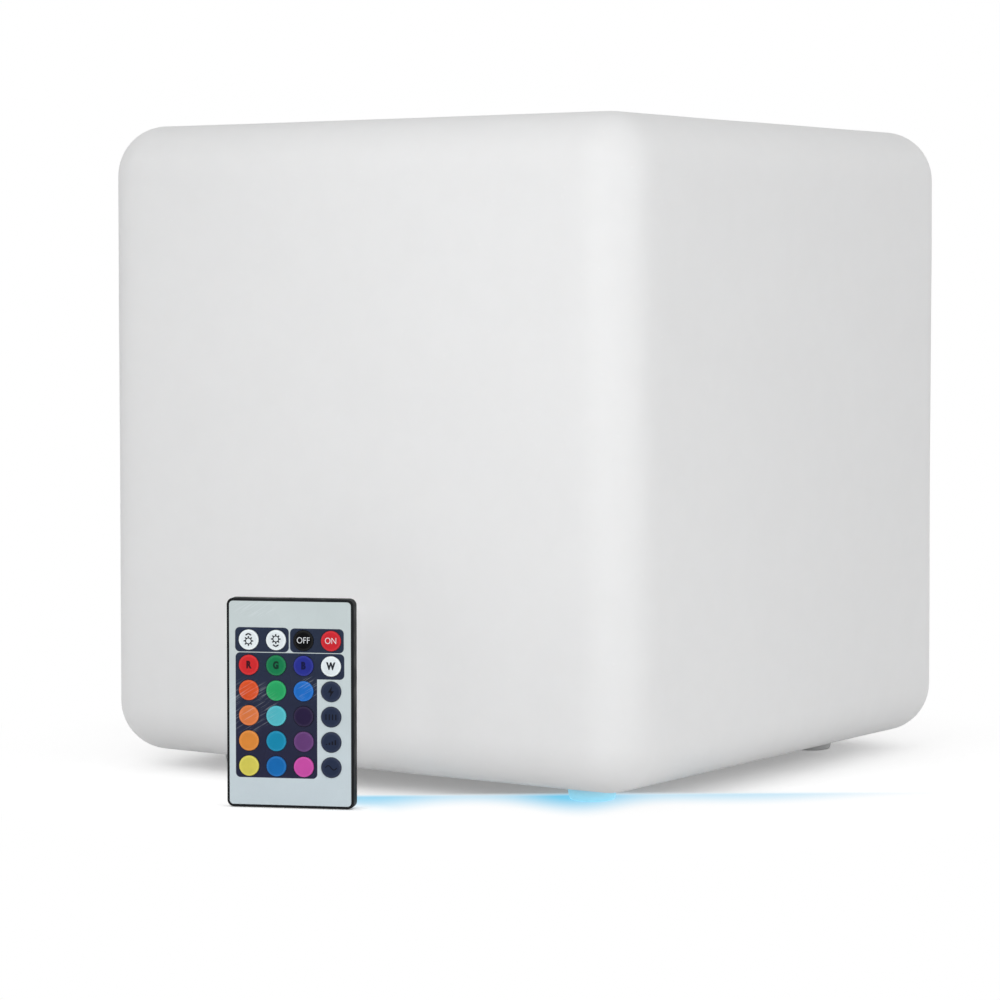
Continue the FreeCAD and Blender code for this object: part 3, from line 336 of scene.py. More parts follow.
def solid(name, colour, rough, grain, depth=0.06, wear_and_highlight=0.3, dusty=0.1, **numbers):
    """A moulded, cast or plated finish with grain, drift, worn edges and a little dust."""
    material, tree, shader = new_material(name)
    colour = seen(*colour)
    skin = use(tree, GRAIN, Scale=grain, Coarse=0.4)
    base = use(tree, DRIFT, Colour=colour, Amount=0.04, Scale=22.0)["Colour"]
    edge = use(tree, WEAR, Amount=wear_and_highlight, Scale=350.0)["Mask"]
    dust = use(tree, DUST, Amount=dusty, Scale=260.0)["Mask"]
    painted = mix(tree, edge, base, paler(colour, 1.25, 0.04))
    dusted = mix(tree, dust, painted, seen(190, 188, 182))
    uneven = between(tree, skin["Mottle"], rough * 0.86, min(1.0, rough * 1.14))
    matted = total(tree, uneven, product(tree, dust, 0.3))
    dress(tree, shader, dusted, matted, (skin["Height"], depth, 0.0002), numbers)
    return material


def metal(name, colour, rough=0.3):
    """A plated or turned metal with fine tool marks round its axis."""
    material, tree, shader = new_material(name)
    colour = seen(*colour)
    place = object_place(tree)
    marks = {"Vector": place, "Scale": 900.0, "Distortion": 3.0, "Detail": 3.0}
    rings = put(tree, "TexWave", marks, bands_direction="Z")
    base = use(tree, DRIFT, Colour=colour, Amount=0.07, Scale=120.0)["Colour"]
    edge = use(tree, WEAR, Amount=0.5, Scale=500.0)["Mask"]
    wear_and_highlight = mix(tree, edge, base, paler(colour, 1.2, 0.05))
    uneven = spread(tree, cloud(tree, place, 160.0, 5.0), 0.3, 0.7, rough * 0.75, rough * 1.3)
    dress(tree, shader, wear_and_highlight, uneven, (rings.outputs["Fac"], 0.12, 0.00005), {"Metallic": 1.0})
    return material


BLACK_RUBBER = solid("black rubber", (38, 38, 40), rough=0.7, grain=1500.0, depth=0.1, dusty=0.2)
BASE_WHITE = solid("fine grained white plastic", (226, 226, 227), rough=0.55, grain=1800.0, depth=0.12)
print("first finishes:", [item.name for item in (BLACK_RUBBER, BASE_WHITE)])

# %% [markdown]
# ## Painted light that spills from underneath
# Some of the lamp's light leaves through its underside. Here it is painted, not cast by a lamp: a
# faint cyan glow painted on the ground in front of the near corner, and the same glow painted on the
# pale foot there. One group draws where it starts and how it fades, in lobes, so that ground and foot
# agree. A real cyan lamp under the cube would also tint its flanks, which stay white here.

# %% Spilled light
# Each lobe: place across, width and strength.
GLOW_LOBES = ((0.012, 0.024, 0.62), (-0.078, 0.030, 0.70), (-0.02, 0.060, 0.45), (0.085, 0.060, 0.56))
EDGE_WIDTH = 0.014


def make_glow():
    """Mask of the painted glow of light that spills forward from under the near corner, and of where it
    starts.
    """
    group, given, out = start_group("spilled light", {"Start": 0.109, "Turn": 36.7}, "Reach", "Glow")
    place = parts(group, object_place(group))
    turn = calc(group, "RADIANS", given["Turn"])
    sine, cosine = calc(group, "SINE", turn), calc(group, "COSINE", turn)
    x, y = place["X"], place["Y"]
    ahead = less(group, product(group, x, sine), product(group, y, cosine))
    across = total(group, product(group, x, cosine), product(group, y, sine))
    past = less(group, ahead, given["Start"])
    lobes = 0.0
    for centre, width, strength in GLOW_LOBES:
        offset = calc(group, "DIVIDE", less(group, across, centre), width)
        bell = calc(group, "EXPONENT", product(group, offset, offset, -1.0))
        lobes = total(group, lobes, product(group, bell, strength))
    # Painted glow: where the spilled light starts and how it fades ahead of the near corner.
    edge = spread(group, past, 0.0, EDGE_WIDTH)
    fade = spread(group, calc(group, "DIVIDE", past, total(group, lobes, 0.2)), 0.058, 0.006)
    fill(group, out["Reach"], spread(group, past, -0.002, 0.012))
    fill(group, out["Glow"], product(group, edge, fade, lobes))
    return group


SPILL = make_glow()
print("lobes of spilled light:", len(GLOW_LOBES))

# %% [markdown]
# ## The milky skin
# The cube is polyethylene, milky so that the lights inside spread over it. Unlit it is a soft, pale
# grey-white with a barely mottled, slightly waxy skin. Light enters it and comes back out close by,
# so a little subsurface scattering matters more than gloss: it softens the shading at the rounded
# edges. A pure diffuse surface would look like painted plaster, and a translucent one like thin film.

# %% Milky polyethylene
def make_milky():
    """Waxy rotomoulded polyethylene with soft mottling."""
    material, tree, shader = new_material("milky polyethylene")
    skin = use(tree, GRAIN, Scale=420.0, Coarse=0.55)
    slow = use(tree, DRIFT, Colour=seen(236, 236, 236), Amount=0.005, Scale=6.0)["Colour"]
    mottled = use(tree, DRIFT, Colour=slow, Amount=0.005, Scale=90.0)["Colour"]
    place = object_place(tree)
    specks = put(tree, "TexVoronoi", {"Vector": place, "Scale": 130.0, "Randomness": 1.0})
    speck_mask = spread(tree, specks.outputs["Distance"], 0.10, 0.02)
    pale = mix(tree, product(tree, speck_mask, 0.2), mottled, seen(248, 248, 248))
    rough = between(tree, skin["Mottle"], 0.46, 0.60)
    height = calc(tree, "MULTIPLY_ADD", cloud(tree, place, 26.0, 2.0), 2.0, skin["Height"])
    dress(tree, shader, pale, rough, (height, 0.08, 0.0003), {
        "Subsurface Weight": 0.35,
        "Subsurface Scale": 0.008,
        "Subsurface Radius": (1.0, 0.95, 0.9),
        "Specular IOR Level": 0.28,
        "IOR": 1.5,
    })
    return material


MILKY = make_milky()
# The rubber's emission strength carries the cyan glow painted on the near foot below.
FOOT_RUBBER = solid(
    "pale translucent rubber", (222, 223, 223), rough=0.5, grain=1400.0, depth=0.05, wear_and_highlight=0.1,
    **{
        "Subsurface Weight": 0.3, "Subsurface Scale": 0.004, "Subsurface Radius": (1, 1, 1),
        "Emission Strength": 1.0,
    },
)


def paint_spilled_light_on_foot(material):
    """Paint the spilled light on the foot at the near corner as cyan colour and glow, most at its tip."""
    tree = material.node_tree
    shader = tree.nodes["Principled BSDF"]
    height = parts(tree, object_place(tree))["Z"]
    low = spread(tree, height, SHELL_UNDER * MM, 0.001, 0.35, 1.0)
    reach = product(tree, use(tree, SPILL)["Reach"], low)
    rubber = shader.inputs["Base Color"].links[0].from_socket
    # Painted light: the foot's colour turns cyan and it glows where the spilled light reaches it.
    fill(tree, shader.inputs["Base Color"], mix(tree, reach, rubber, seen(165, 205, 222)))
    glow = mix(tree, reach, (0.0, 0.0, 0.0, 1.0), seen(118, 177, 196))
    fill(tree, shader.inputs["Emission Color"], glow)


paint_spilled_light_on_foot(FOOT_RUBBER)
print("milky skin and its neighbours ready")

# %% [markdown]
# ## Two places to stand
# The lamp stands over the origin. The handset stands in front of it, turned a little, so everything on
# it is made in the handset's own upright plane and carried there by one matrix. A mesh becomes a
# piece when it has its material, its place, the body that it rides on and the CAD nodes that it
# stands for, and one helper does all of that alike.

# %% Places of lamp and handset
HANDSET_TURN = math.radians(24.3)
HANDSET_PLACE = Matrix.Translation(Vector((3.3, -184.5, 0)) * MM) @ Matrix.Rotation(HANDSET_TURN, 4, "Z")
LAMP_PLACE = Matrix.Identity(4)


def add_piece(name, mesh, material, body, nodes=(), place=LAMP_PLACE, smooth=35):
    """Put a mesh into the scene as a piece that rides on a body and stands for CAD nodes."""
    piece = new_object(name, mesh)
    mesh.materials.clear()
    mesh.materials.append(material)
    piece.matrix_world = place
    if smooth:
        mesh.shade_smooth()
        mesh.set_sharp_from_angle(angle=math.radians(smooth))
    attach(piece, body)
    if nodes:
        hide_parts(*nodes)
    return piece


print("handset stands at", [round(value, 4) for value in HANDSET_PLACE.translation])

# %% [markdown]
# ## Rings and turned pieces
# Most surfaces here are rings of points joined one after the other. A stack of rounded rectangles
# makes the handset's case. A turned piece spins an outline about an axis, as a lathe does, and that
# is a stack of circles. The primitives in the Add menu have the right outline but hard edges, and
# here the rounding is part of the outline.

# %% Rings of points
def finish_mesh(name, maker):
    """Turn a bmesh into a mesh with its normals outwards."""
    bmesh.ops.recalc_face_normals(maker, faces=maker.faces)
    mesh = bpy.data.meshes.new(name)
    maker.to_mesh(mesh)
    maker.free()
    return mesh


def bridge(maker, first, second):
    """Quads between two closed rows of as many points."""
    for step in range(len(first)):
        after = (step + 1) % len(first)
        maker.faces.new((first[step], first[after], second[after], second[step]))


def join_rings(maker, rings, close_first=True, close_last=True):
    """Quads between rings of points, given as rows of vectors in metres."""
    rows = [[maker.verts.new(point) for point in ring] for ring in rings]
    for low, high in zip(rows, rows[1:]):
        bridge(maker, low, high)
    if close_first:
        maker.faces.new(rows[0])
    if close_last:
        maker.faces.new(rows[-1])


def polar(radius, angle, centre=(0, 0)):
    """Point at a radius and angle about a centre."""
    return centre[0] + radius * math.cos(angle), centre[1] + radius * math.sin(angle)


def around(count):
    """Angles of even steps round a circle."""
    return [2 * math.pi * step / count for step in range(count)]


def turn_outline(maker, outline, centre, segments, axis="Z"):
    """Spin an outline of (radius, height) in millimetres; radius 0 closes an end."""
    rings = []
    centre = Vector(centre)
    for radius, height in outline:
        ring = []
        for angle in around(segments):
            across, up = polar(radius, angle)
            point = (across, up, height) if axis == "Z" else (across, height, up)
            ring.append((Vector(point) + centre) * MM)
        rings.append(ring)
    ends = [outline[0][0] < 0.01, outline[-1][0] < 0.01]
    if ends[0]:
        rings = rings[1:]
    if ends[1]:
        rings = rings[:-1]
    join_rings(maker, rings, close_first=ends[0], close_last=ends[1])


def arc_outline(centre, radius, start, end, steps):
    """Points of an arc in an outline, angles in degrees."""
    points = []
    for step in range(steps + 1):
        angle = math.radians(start + (end - start) * step / steps)
        points.append(polar(radius, angle, centre))
    return points


print("a quarter arc ends at", [round(value, 3) for value in arc_outline((0, 0), 1, 0, 90, 6)[-1]])

# %% [markdown]
# ## Rounded rectangles and flat plates
# The handset is full of rounded rectangles, so one ring of them is a helper. A thin plate with holes
# could be cut with booleans, which leave a mesh that is hard to bevel. A flat curve fills an outline,
# keeps the inner outlines open as holes and rounds their edges with its own bevel, so the plate is
# made as a curve and then turned into a mesh.

# %% Rounded rings and plates
CORNER_STEPS = 10


def rounded_ring(half_width, half_height, corner, depth, centre_up):
    """Ring of points of a rounded rectangle in the handset's face plane, in metres."""
    ring = []
    for quarter, (sx, sz) in enumerate(((1, 1), (-1, 1), (-1, -1), (1, -1))):
        middle = ((half_width - corner) * sx, (half_height - corner) * sz)
        start = quarter * 90
        for across, up in arc_outline(middle, corner, start, start + 90, CORNER_STEPS):
            ring.append(Vector((across, depth, up + centre_up)) * MM)
    return ring


def flat_plate(name, outlines, thickness, bevel):
    """Mesh of a flat plate from closed outlines; inner outlines become holes. Face at depth 0."""
    curve = bpy.data.curves.new(name, "CURVE")
    curve.dimensions = "2D"
    curve.fill_mode = "BOTH"
    curve.extrude = (thickness / 2 - bevel) * MM
    curve.bevel_depth = bevel * MM
    curve.bevel_resolution = 1
    curve.offset = -bevel * MM
    for outline in outlines:
        spline = curve.splines.new("POLY")
        spline.points.add(len(outline) - 1)
        for point, (across, up) in zip(spline.points, outline):
            point.co = (across * MM, up * MM, 0, 1)
        spline.use_cyclic_u = True
    mesh = mesh_of(curve)
    mesh.transform(Matrix(((1, 0, 0, 0), (0, 0, -1, thickness / 2 * MM), (0, 1, 0, 0), (0, 0, 0, 1))))
    return mesh


def mesh_of(curve):
    """The mesh that a curve or text makes."""
    mesh = take_mesh(new_object("holder", curve))
    bpy.data.curves.remove(curve)
    return mesh


def take_mesh(thing):
    """The finished mesh of an object, which is then removed."""
    bpy.context.view_layer.update()
    depsgraph = bpy.context.evaluated_depsgraph_get()
    mesh = bpy.data.meshes.new_from_object(thing.evaluated_get(depsgraph))
    bpy.data.objects.remove(thing)
    return mesh


print("a rounded ring has", len(rounded_ring(9, 9, 2, 0, 0)), "points")

# %% [markdown]
# ## The shell
# A rotomoulded cube has large, even roundings and walls that never come out quite flat: as the
# plastic cools, each face sinks by a few tenths of a millimetre and keeps a slow wave. That is what
# makes the highlight on the near edge soft and a little uneven. A cube with a bevel modifier would be
# too exact, so the skin is built from six grids that share the true rounding, and every point is then
# moved along its normal by less than half a millimetre. The underside closes around the round hole
# of the base plate.

# %% Points of the rounded skin
EDGE_RADIUS, WALL = 22.5, 3.0
SIDE_STEPS, ROUND_STEPS, CLOSING_STEPS = 26, 6, 7
SEAT_RADIUS, SEAT_WALL, OPENING_RADIUS = 75.0, 9.0, 63.0
LEDGE_LEVEL, SEAT_TOP = 13.5, 21.5


def grid_line(size, radius):
    """Places along one side: base position and the tangent of the rounding's angle."""
    reach = size / 2 - radius
    line = []
    for step in range(ROUND_STEPS):
        line.append((-reach, -math.tan(math.radians(45 * (ROUND_STEPS - step) / ROUND_STEPS))))
    for step in range(SIDE_STEPS + 1):
        line.append((-reach + 2 * reach * step / SIDE_STEPS, 0.0))
    for step in range(1, ROUND_STEPS + 1):
        line.append((reach, math.tan(math.radians(45 * step / ROUND_STEPS))))
    return line


def skin_point(size, radius, axis, side, first, second):
    """Point of the rounded cube on one face, about the cube's centre."""
    base = [0.0, 0.0, 0.0]
    lean = [0.0, 0.0, 0.0]
    base[axis] = side * (size / 2 - radius)
    lean[axis] = side
    base[(axis + 1) % 3], lean[(axis + 1) % 3] = first
    base[(axis + 2) % 3], lean[(axis + 2) % 3] = second
    normal = Vector(lean).normalized()
    return Vector(base) + normal * radius, normal


def settle(point, normal, half):
    """Slow waves and a slight sink of the cooling wall, in millimetres."""
    wave = noise.noise(point * 0.011) * 0.22 + noise.noise(point * 0.031 + Vector((7, 3, 1))) * 0.07
    flat = max(abs(value) for value in normal) ** 8
    inner = [abs(value) / half for value in point if abs(value) < half - 1]
    middle = math.prod(math.cos(math.pi / 2 * min(1, share)) ** 0.5 for share in inner)
    return point + normal * (wave - 0.35 * flat * middle)


print("each face has", len(grid_line(CUBE_SIZE, EDGE_RADIUS)), "rows of points")

# %% [markdown]
# ## Six grids and a round hole
# Each of the six faces is a grid that reaches half-way round its edges, so the grids meet in the
# middle of the roundings with the same points. The flat middle of the underside is left out. What
# stays open is a square border, and a few rings lead from it to the circle of the base plate's seat.

# %% Six grids and a round hole
def make_skin(maker, size, radius, hole, waves):
    """Rounded cube over the origin with a round hole underneath; gives the hole's ring back."""
    line = grid_line(size, radius)
    count = len(line)
    lift = Vector((0, 0, SHELL_UNDER + CUBE_SIZE / 2))
    low, high = ROUND_STEPS, ROUND_STEPS + SIDE_STEPS

    def add_point(point, normal):
        moved = settle(point, normal, size / 2) if waves else point
        return maker.verts.new((moved + lift) * MM)

    for axis in range(3):
        for side in (-1, 1):
            under = axis == 2 and side == -1
            rows = []
            for first in line:
                points = [skin_point(size, radius, axis, side, first, second) for second in line]
                rows.append([add_point(*point) for point in points])
            for i in range(count - 1):
                for j in range(count - 1):
                    if under and low <= i < high and low <= j < high:
                        continue
                    maker.faces.new((rows[i][j], rows[i + 1][j], rows[i + 1][j + 1], rows[i][j + 1]))
            if under:
                border = [rows[i][low] for i in range(low, high)]
                border += [rows[high][j] for j in range(low, high)]
                border += [rows[i][high] for i in range(high, low, -1)]
                border += [rows[low][j] for j in range(high, low, -1)]
    return close_to_circle(maker, border, hole)


def close_to_circle(maker, border, radius):
    """Rings that shrink a square border to a circle."""
    row = border
    starts = [vertex.co.copy() for vertex in border]
    for step in range(1, CLOSING_STEPS + 1):
        share = step / CLOSING_STEPS
        fresh = []
        for start in starts:
            angle = math.atan2(start.y, start.x)
            goal = Vector((*polar(radius * MM, angle), start.z))
            fresh.append(maker.verts.new(start.lerp(goal, share)))
        bridge(maker, row, fresh)
        row = fresh
    return row


print("closing rings", CLOSING_STEPS)

# %% [markdown]
# ## The seat and the inner wall
# From the circle the skin turns inwards: up the wall of the seat, along the ledge that the base plate
# is screwed against, and up through the opening into the hollow. A second, plain skin three
# millimetres further in is the inside of the wall, so the shell has a real thickness.

# %% The hollow shell
def ring_at(maker, row, radius, level):
    """A further ring at a radius and level in millimetres, joined to a row."""
    fresh = []
    for vertex in row:
        angle = math.atan2(vertex.co.y, vertex.co.x)
        place = Vector((*polar(radius, angle), level)) * MM
        fresh.append(maker.verts.new(place))
    bridge(maker, row, fresh)
    return fresh


def make_shell_mesh():
    """The whole hollow shell with the seat of its base plate."""
    maker = bmesh.new()
    row = make_skin(maker, CUBE_SIZE, EDGE_RADIUS, SEAT_RADIUS + 1.2, waves=True)
    seat_outside = SEAT_RADIUS + SEAT_WALL
    seat = (
        (SEAT_RADIUS + 0.4, SHELL_UNDER + 0.25), (SEAT_RADIUS, SHELL_UNDER + 0.8),
        (SEAT_RADIUS, LEDGE_LEVEL),
        (OPENING_RADIUS, LEDGE_LEVEL), (OPENING_RADIUS, SEAT_TOP), (seat_outside, SEAT_TOP),
    )
    for radius, level in seat:
        row = ring_at(maker, row, radius, level)
    inner_row = make_skin(maker, CUBE_SIZE - 2 * WALL, EDGE_RADIUS - WALL, seat_outside, waves=False)
    bridge(maker, row, inner_row)
    bmesh.ops.remove_doubles(maker, verts=maker.verts, dist=0.00001)
    return finish_mesh("shell skin", maker)


shell_nodes = ["shell", "shell_underside"]
shell = add_piece(
    "lamp_shell", make_shell_mesh(), MILKY, "lamp", shell_nodes, smooth=50
)
print("shell skin", len(shell.data.vertices), "points")

# %% [markdown]
# ## Feet
# The four feet are short, pale, slightly translucent rubber cones. They show only as a shadow gap
# and a pale tab under the near corner, but they decide how the cube meets the floor. Each is a turned
# outline with a rounded rim, which rubber always has, and a shallow cup in the sole.

# %% Rubber feet
FOOT_REACH = 93.0
FOOT_PLACES = [(FOOT_REACH * sx, FOOT_REACH * sy) for sx in (-1, 1) for sy in (-1, 1)]


def make_feet_mesh():
    """Four turned feet in one mesh."""
    maker = bmesh.new()
    outline = [(0, 0.35), (6.2, 0.35), (6.9, 0.0), (8.7, 0.0)]
    outline += arc_outline((8.75, 1.0), 1.0, -85, -12, 5)
    outline += [(10.3, 3.6), (11.1, 5.8), (11.6, 7.1), (11.6, 8.2), (0, 8.2)]
    for x, y in FOOT_PLACES:
        turn_outline(maker, outline, (x, y, 0), segments=56)
    return finish_mesh("feet", maker)


feet = add_piece("lamp_feet", make_feet_mesh(), FOOT_RUBBER, "lamp", ["rubber_feet"])
print("feet", len(feet.data.vertices), "points")

# %% [markdown]
# ## The power button
# The round button sits in the base plate, where a thumb finds it by touch. Its face is slightly
# dished and carries the usual sign of a broken ring with a bar, raised by a fraction of a
# millimetre. The sign is two small pieces of mesh on the button, so it moves with it.

# %% Power button and its sign
BUTTON_PLACE = (-20.0, -24.0, 0.0)
SIGN_LEVELS = (6.88, 7.2)
SIGN_INNER, SIGN_OUTER = 1.9, 2.4
RING_START, RING_SWEEP, RING_STEPS = 125, 290, 32


def make_button_mesh():
    """Turned button with a dished face."""
    maker = bmesh.new()
    outline = [(0, 7.15), (2.5, 7.1), (4.4, 6.98)]
    outline += arc_outline((5.5, 7.4), 0.5, -90, 0, 5)
    outline += [(6.0, 12.35), (7.5, 12.35), (7.5, 13.25), (2.0, 13.25), (2.0, 14.9), (0, 14.9)]
    turn_outline(maker, outline, BUTTON_PLACE, segments=72)
    return finish_mesh("button", maker)


def make_sign_mesh():
    """Broken ring and bar, raised under the button."""
    maker = bmesh.new()
    low, high = SIGN_LEVELS
    rows = []
    for step in range(RING_STEPS + 1):
        angle = math.radians(RING_START + RING_SWEEP * step / RING_STEPS)
        ring = []
        for radius, level in ((SIGN_INNER, low), (SIGN_OUTER, low), (SIGN_OUTER, high), (SIGN_INNER, high)):
            ring.append((Vector((*polar(radius, angle), level)) + Vector(BUTTON_PLACE)) * MM)
        rows.append(ring)
    join_rings(maker, rows)
    stroke = []
    for level in SIGN_LEVELS:
        corners = ((-0.25, 0.9), (0.25, 0.9), (0.25, 2.9), (-0.25, 2.9))
        stroke.append([(Vector((x, y, level)) + Vector(BUTTON_PLACE)) * MM for x, y in corners])
    join_rings(maker, stroke)
    return finish_mesh("button sign", maker)


SIGN_GREY = solid("pale sign print", (205, 208, 210), rough=0.5, grain=1500.0)
add_piece(
    "power_button_cap", make_button_mesh(), BLACK_RUBBER, "button", ["power_button"]
)
add_piece("power_button_sign", make_sign_mesh(), SIGN_GREY, "button")
print("button at", BUTTON_PLACE)

# %% [markdown]
# ## The handset's case
# The case is a satin black tray with a rim just over a millimetre wide, rounded where fingers meet
# it. It's a stack of rounded rectangles: down the inside, over the rim, down the side with its fine
# parting line, and round the back edge. The slot of the battery tray and the eye of the infrared
# light are then cut out of it with booleans, because they cross the stack.

# %% Case of the handset
HALF_WIDTH, HALF_LENGTH, CASE_DEPTH, CORNER = 27.0, 43.5, 7.0, 2.8
TRAY_HALF_WIDTH, TRAY_FRONT, TRAY_BACK = 11.82, 3.48, 6.1
EYE_RADIUS, EYE_DEPTH = 1.46, 4.56
TRAY_LEVELS, EYE_LEVELS = (-1.0, 1.6), (85.0, 88.0)
FACE_INSET = 1.15
# Each ring of the case: its inset from the outline and its depth.
CASE_RINGS = (
    (FACE_INSET, 6.1), (FACE_INSET, 0.22), (1.0, 0.04), (0.62, 0.0), (0.25, 0.09), (0.07, 0.3), (0.0, 0.6),
    (0.0, 3.3), (0.1, 3.36), (0.1, 3.5), (0.0, 3.56), (0.0, 5.9), (0.1, 6.35), (0.35, 6.72),
    (0.72, 6.93), (1.1, CASE_DEPTH), (5.0, CASE_DEPTH), (5.25, 6.85), (12.0, 6.85),
)


def case_ring(inset, depth):
    """Ring of the case at an inset from its outline."""
    corner = max(0.6, CORNER - inset)
    return rounded_ring(HALF_WIDTH - inset, HALF_LENGTH - inset, corner, depth, HALF_LENGTH)


def cut_with(mesh, tool_mesh):
    """Take one mesh out of another with an exact boolean."""
    body, tool = new_object("cut body", mesh), new_object("cut tool", tool_mesh)
    cut = body.modifiers.new("cut", "BOOLEAN")
    cut.operation, cut.solver, cut.object = "DIFFERENCE", "EXACT", tool
    result = take_mesh(body)
    bpy.data.objects.remove(tool)
    return result


def make_case_mesh():
    """The case with its tray slot and infrared eye."""
    maker = bmesh.new()
    join_rings(maker, [case_ring(*ring) for ring in CASE_RINGS])
    mesh = finish_mesh("case", maker)
    slot = bmesh.new()
    corners = (
        (-TRAY_HALF_WIDTH, TRAY_FRONT), (TRAY_HALF_WIDTH, TRAY_FRONT),
        (TRAY_HALF_WIDTH, TRAY_BACK), (-TRAY_HALF_WIDTH, TRAY_BACK),
    )
    join_rings(slot, [[Vector((x, y, z)) * MM for x, y in corners] for z in TRAY_LEVELS])
    eye = bmesh.new()
    low, high = EYE_LEVELS
    outline = [(0, low), (EYE_RADIUS, low), (EYE_RADIUS, high), (0, high)]
    turn_outline(eye, outline, (0, EYE_DEPTH, 0), segments=32)
    for tool, label in ((slot, "slot"), (eye, "eye")):
        mesh = cut_with(mesh, finish_mesh(label, tool))
    return mesh


CASE_BLACK = solid(
    "satin black case", (15, 17, 20), rough=0.5, grain=1600.0, depth=0.04, wear_and_highlight=0.2, dusty=0.03,
    **{"Specular IOR Level": 0.15},
)
case = add_piece(
    "handset_case", make_case_mesh(), CASE_BLACK, "handset", ["remote_case"], HANDSET_PLACE
)
print("case", len(case.data.vertices), "points")

# %% [markdown]
# ## The printed face
# The face is one thin sheet: pale grey-blue, with three dark panels printed round the groups of
# keys. A printed panel has no thickness, so it belongs in the material. A small node group gives the
# mask of a rounded rectangle from its centre, size and corner, and the panels are four of them joined.
# Pale film marks run over sheet and keys alike, in slanting strokes, as on a handset whose
# protective film has been handled, so that mask is a group too. The marks dull the gloss, and the
# paler colour along them is a painted reflection of the film.

# %% Rounded panel and film marks
def make_panel():
    """Mask of a rounded rectangle in the handset's face, sizes in millimetres."""
    names = ("Across", "Up", "Centre Across", "Centre Up", "Half Width", "Half Height", "Corner")
    group, given, out = start_group("rounded panel", dict.fromkeys(names, 1.0), "Mask")
    gaps = []
    for along, half in (("Across", "Half Width"), ("Up", "Half Height")):
        offset = calc(group, "ABSOLUTE", less(group, given[along], given["Centre " + along]))
        inner = less(group, given[half], given["Corner"])
        gaps.append(calc(group, "MAXIMUM", less(group, offset, inner), 0.0))
    edge = less(group, distance_from(group, *gaps), given["Corner"])
    fill(group, out["Mask"], spread(group, edge, 0.05, -0.05))
    return group


# The strokes' slant, and how much slower they change along than across. Each patch is a centre and
# half its size, in millimetres.
STROKE_SLANT = math.radians(31)
STROKE_STRETCH = 0.05
FILM_PATCHES = ((-15.0, 84.0, 12.0, 6.0), (-17.0, 42.0, 14.0, 13.0), (8.0, 50.0, 6.0, 6.0))


def make_film():
    """Mask of slanting film marks over the face, in a few patches: they dull the gloss and carry a painted
    reflection.
    """
    group, given, out = start_group("film marks", {"Across": 0.0, "Up": 0.0}, "Mask")
    across, up = given["Across"], given["Up"]
    cosine, sine = math.cos(STROKE_SLANT), math.sin(STROKE_SLANT)
    along = total(group, product(group, across, cosine), product(group, up, sine))
    over = less(group, product(group, up, cosine), product(group, across, sine))
    place = put(group, "CombineXYZ", {"X": product(group, along, STROKE_STRETCH), "Y": over})
    fine = spread(group, cloud(group, place.outputs[0], 1.9, 3.0), 0.52, 0.68)
    patches = 0.0
    for centre_across, centre_up, wide, high in FILM_PATCHES:
        x = calc(group, "DIVIDE", less(group, across, centre_across), wide)
        z = calc(group, "DIVIDE", less(group, up, centre_up), high)
        far = total(group, product(group, x, x), product(group, z, z))
        patches = calc(group, "MAXIMUM", patches, spread(group, far, 1.0, 0.2))
    fill(group, out["Mask"], product(group, fine, patches))
    return group


PANEL = make_panel()
FILM = make_film()
# How strong and how pale the painted reflection along the film marks is.
FILM_REFLECTION_STRENGTH = 0.17
FILM_REFLECTION_COLOUR = seen(232, 238, 244)
# Each panel: centre across and up, half its width and height, corner.
PANELS = (
    (-11.85, 69.85, 11.45, 5.1, 2.0), (11.5, 69.75, 11.4, 5.0, 2.0),
    (0.0, 59.1, 23.1, 5.35, 2.0), (-5.8, 38.4, 17.35, 26.0, 2.0),
)


def under_film(tree, shader, across, up, colour, grain, rough, film_rough, depth, specular):
    """Dress a shader that lies under the film: its marks dull the gloss, and lighten the colour as a painted
    reflection.
    """
    marks = use(tree, FILM, Across=across, Up=up)["Mask"]
    # Paler colour along the film marks is a painted reflection; the added roughness is real.
    painted_reflection = mix(tree, product(tree, marks, FILM_REFLECTION_STRENGTH), colour, FILM_REFLECTION_COLOUR)
    skin = use(tree, GRAIN, Scale=grain[0], Coarse=grain[1])
    smooth = between(tree, skin["Mottle"], *rough)
    dulled = calc(tree, "MULTIPLY_ADD", marks, film_rough, smooth)
    bump = (skin["Height"], depth, 0.0001)
    dress(tree, shader, painted_reflection, dulled, bump, {"Specular IOR Level": specular})


def face_place(tree):
    """Across and up on the handset's face, in millimetres."""
    place = parts(tree, object_place(tree))
    return [product(tree, place[axis], 1 / MM) for axis in ("X", "Z")]


print("panels", len(PANELS))

# %% [markdown]
# ## The sheet itself
# The sheet is a plate with 24 round openings, glossy and a little uneven in colour from top to
# bottom. One material carries the pale ground, the panels and the film marks, because on the real
# sheet the ink and the handled film are on one surface. The paler colour of the marks is a painted
# reflection.

# %% Printed sheet
def make_sheet_material():
    """Glossy printed sheet with dark panels and film marks."""
    material, tree, shader = new_material("printed face sheet")
    across, up = face_place(tree)
    mask = 0.0
    for centre_across, centre_up, half_width, half_height, corner in PANELS:
        panel = use(
            tree, PANEL, Across=across, Up=up, Centre_Across=centre_across, Centre_Up=centre_up,
            Half_Width=half_width, Half_Height=half_height, Corner=corner,
        )
        mask = calc(tree, "MAXIMUM", mask, panel["Mask"])
    paper = mix(tree, spread(tree, up, 0.0, 2 * HALF_LENGTH), seen(200, 212, 218), seen(193, 203, 204))
    paper = use(tree, DRIFT, Colour=paper, Amount=0.02, Scale=45.0)["Colour"]
    navy = mix(tree, spread(tree, up, 20.0, 70.0), seen(33, 35, 60), seen(35, 45, 66))
    dark = use(tree, DRIFT, Colour=navy, Amount=0.08, Scale=90.0)["Colour"]
    printed = mix(tree, mask, paper, dark)
    under_film(
        tree, shader, across, up, printed, grain=(700.0, 0.3), rough=(0.20, 0.30),
        film_rough=0.25, depth=0.03, specular=0.14,
    )
    return material


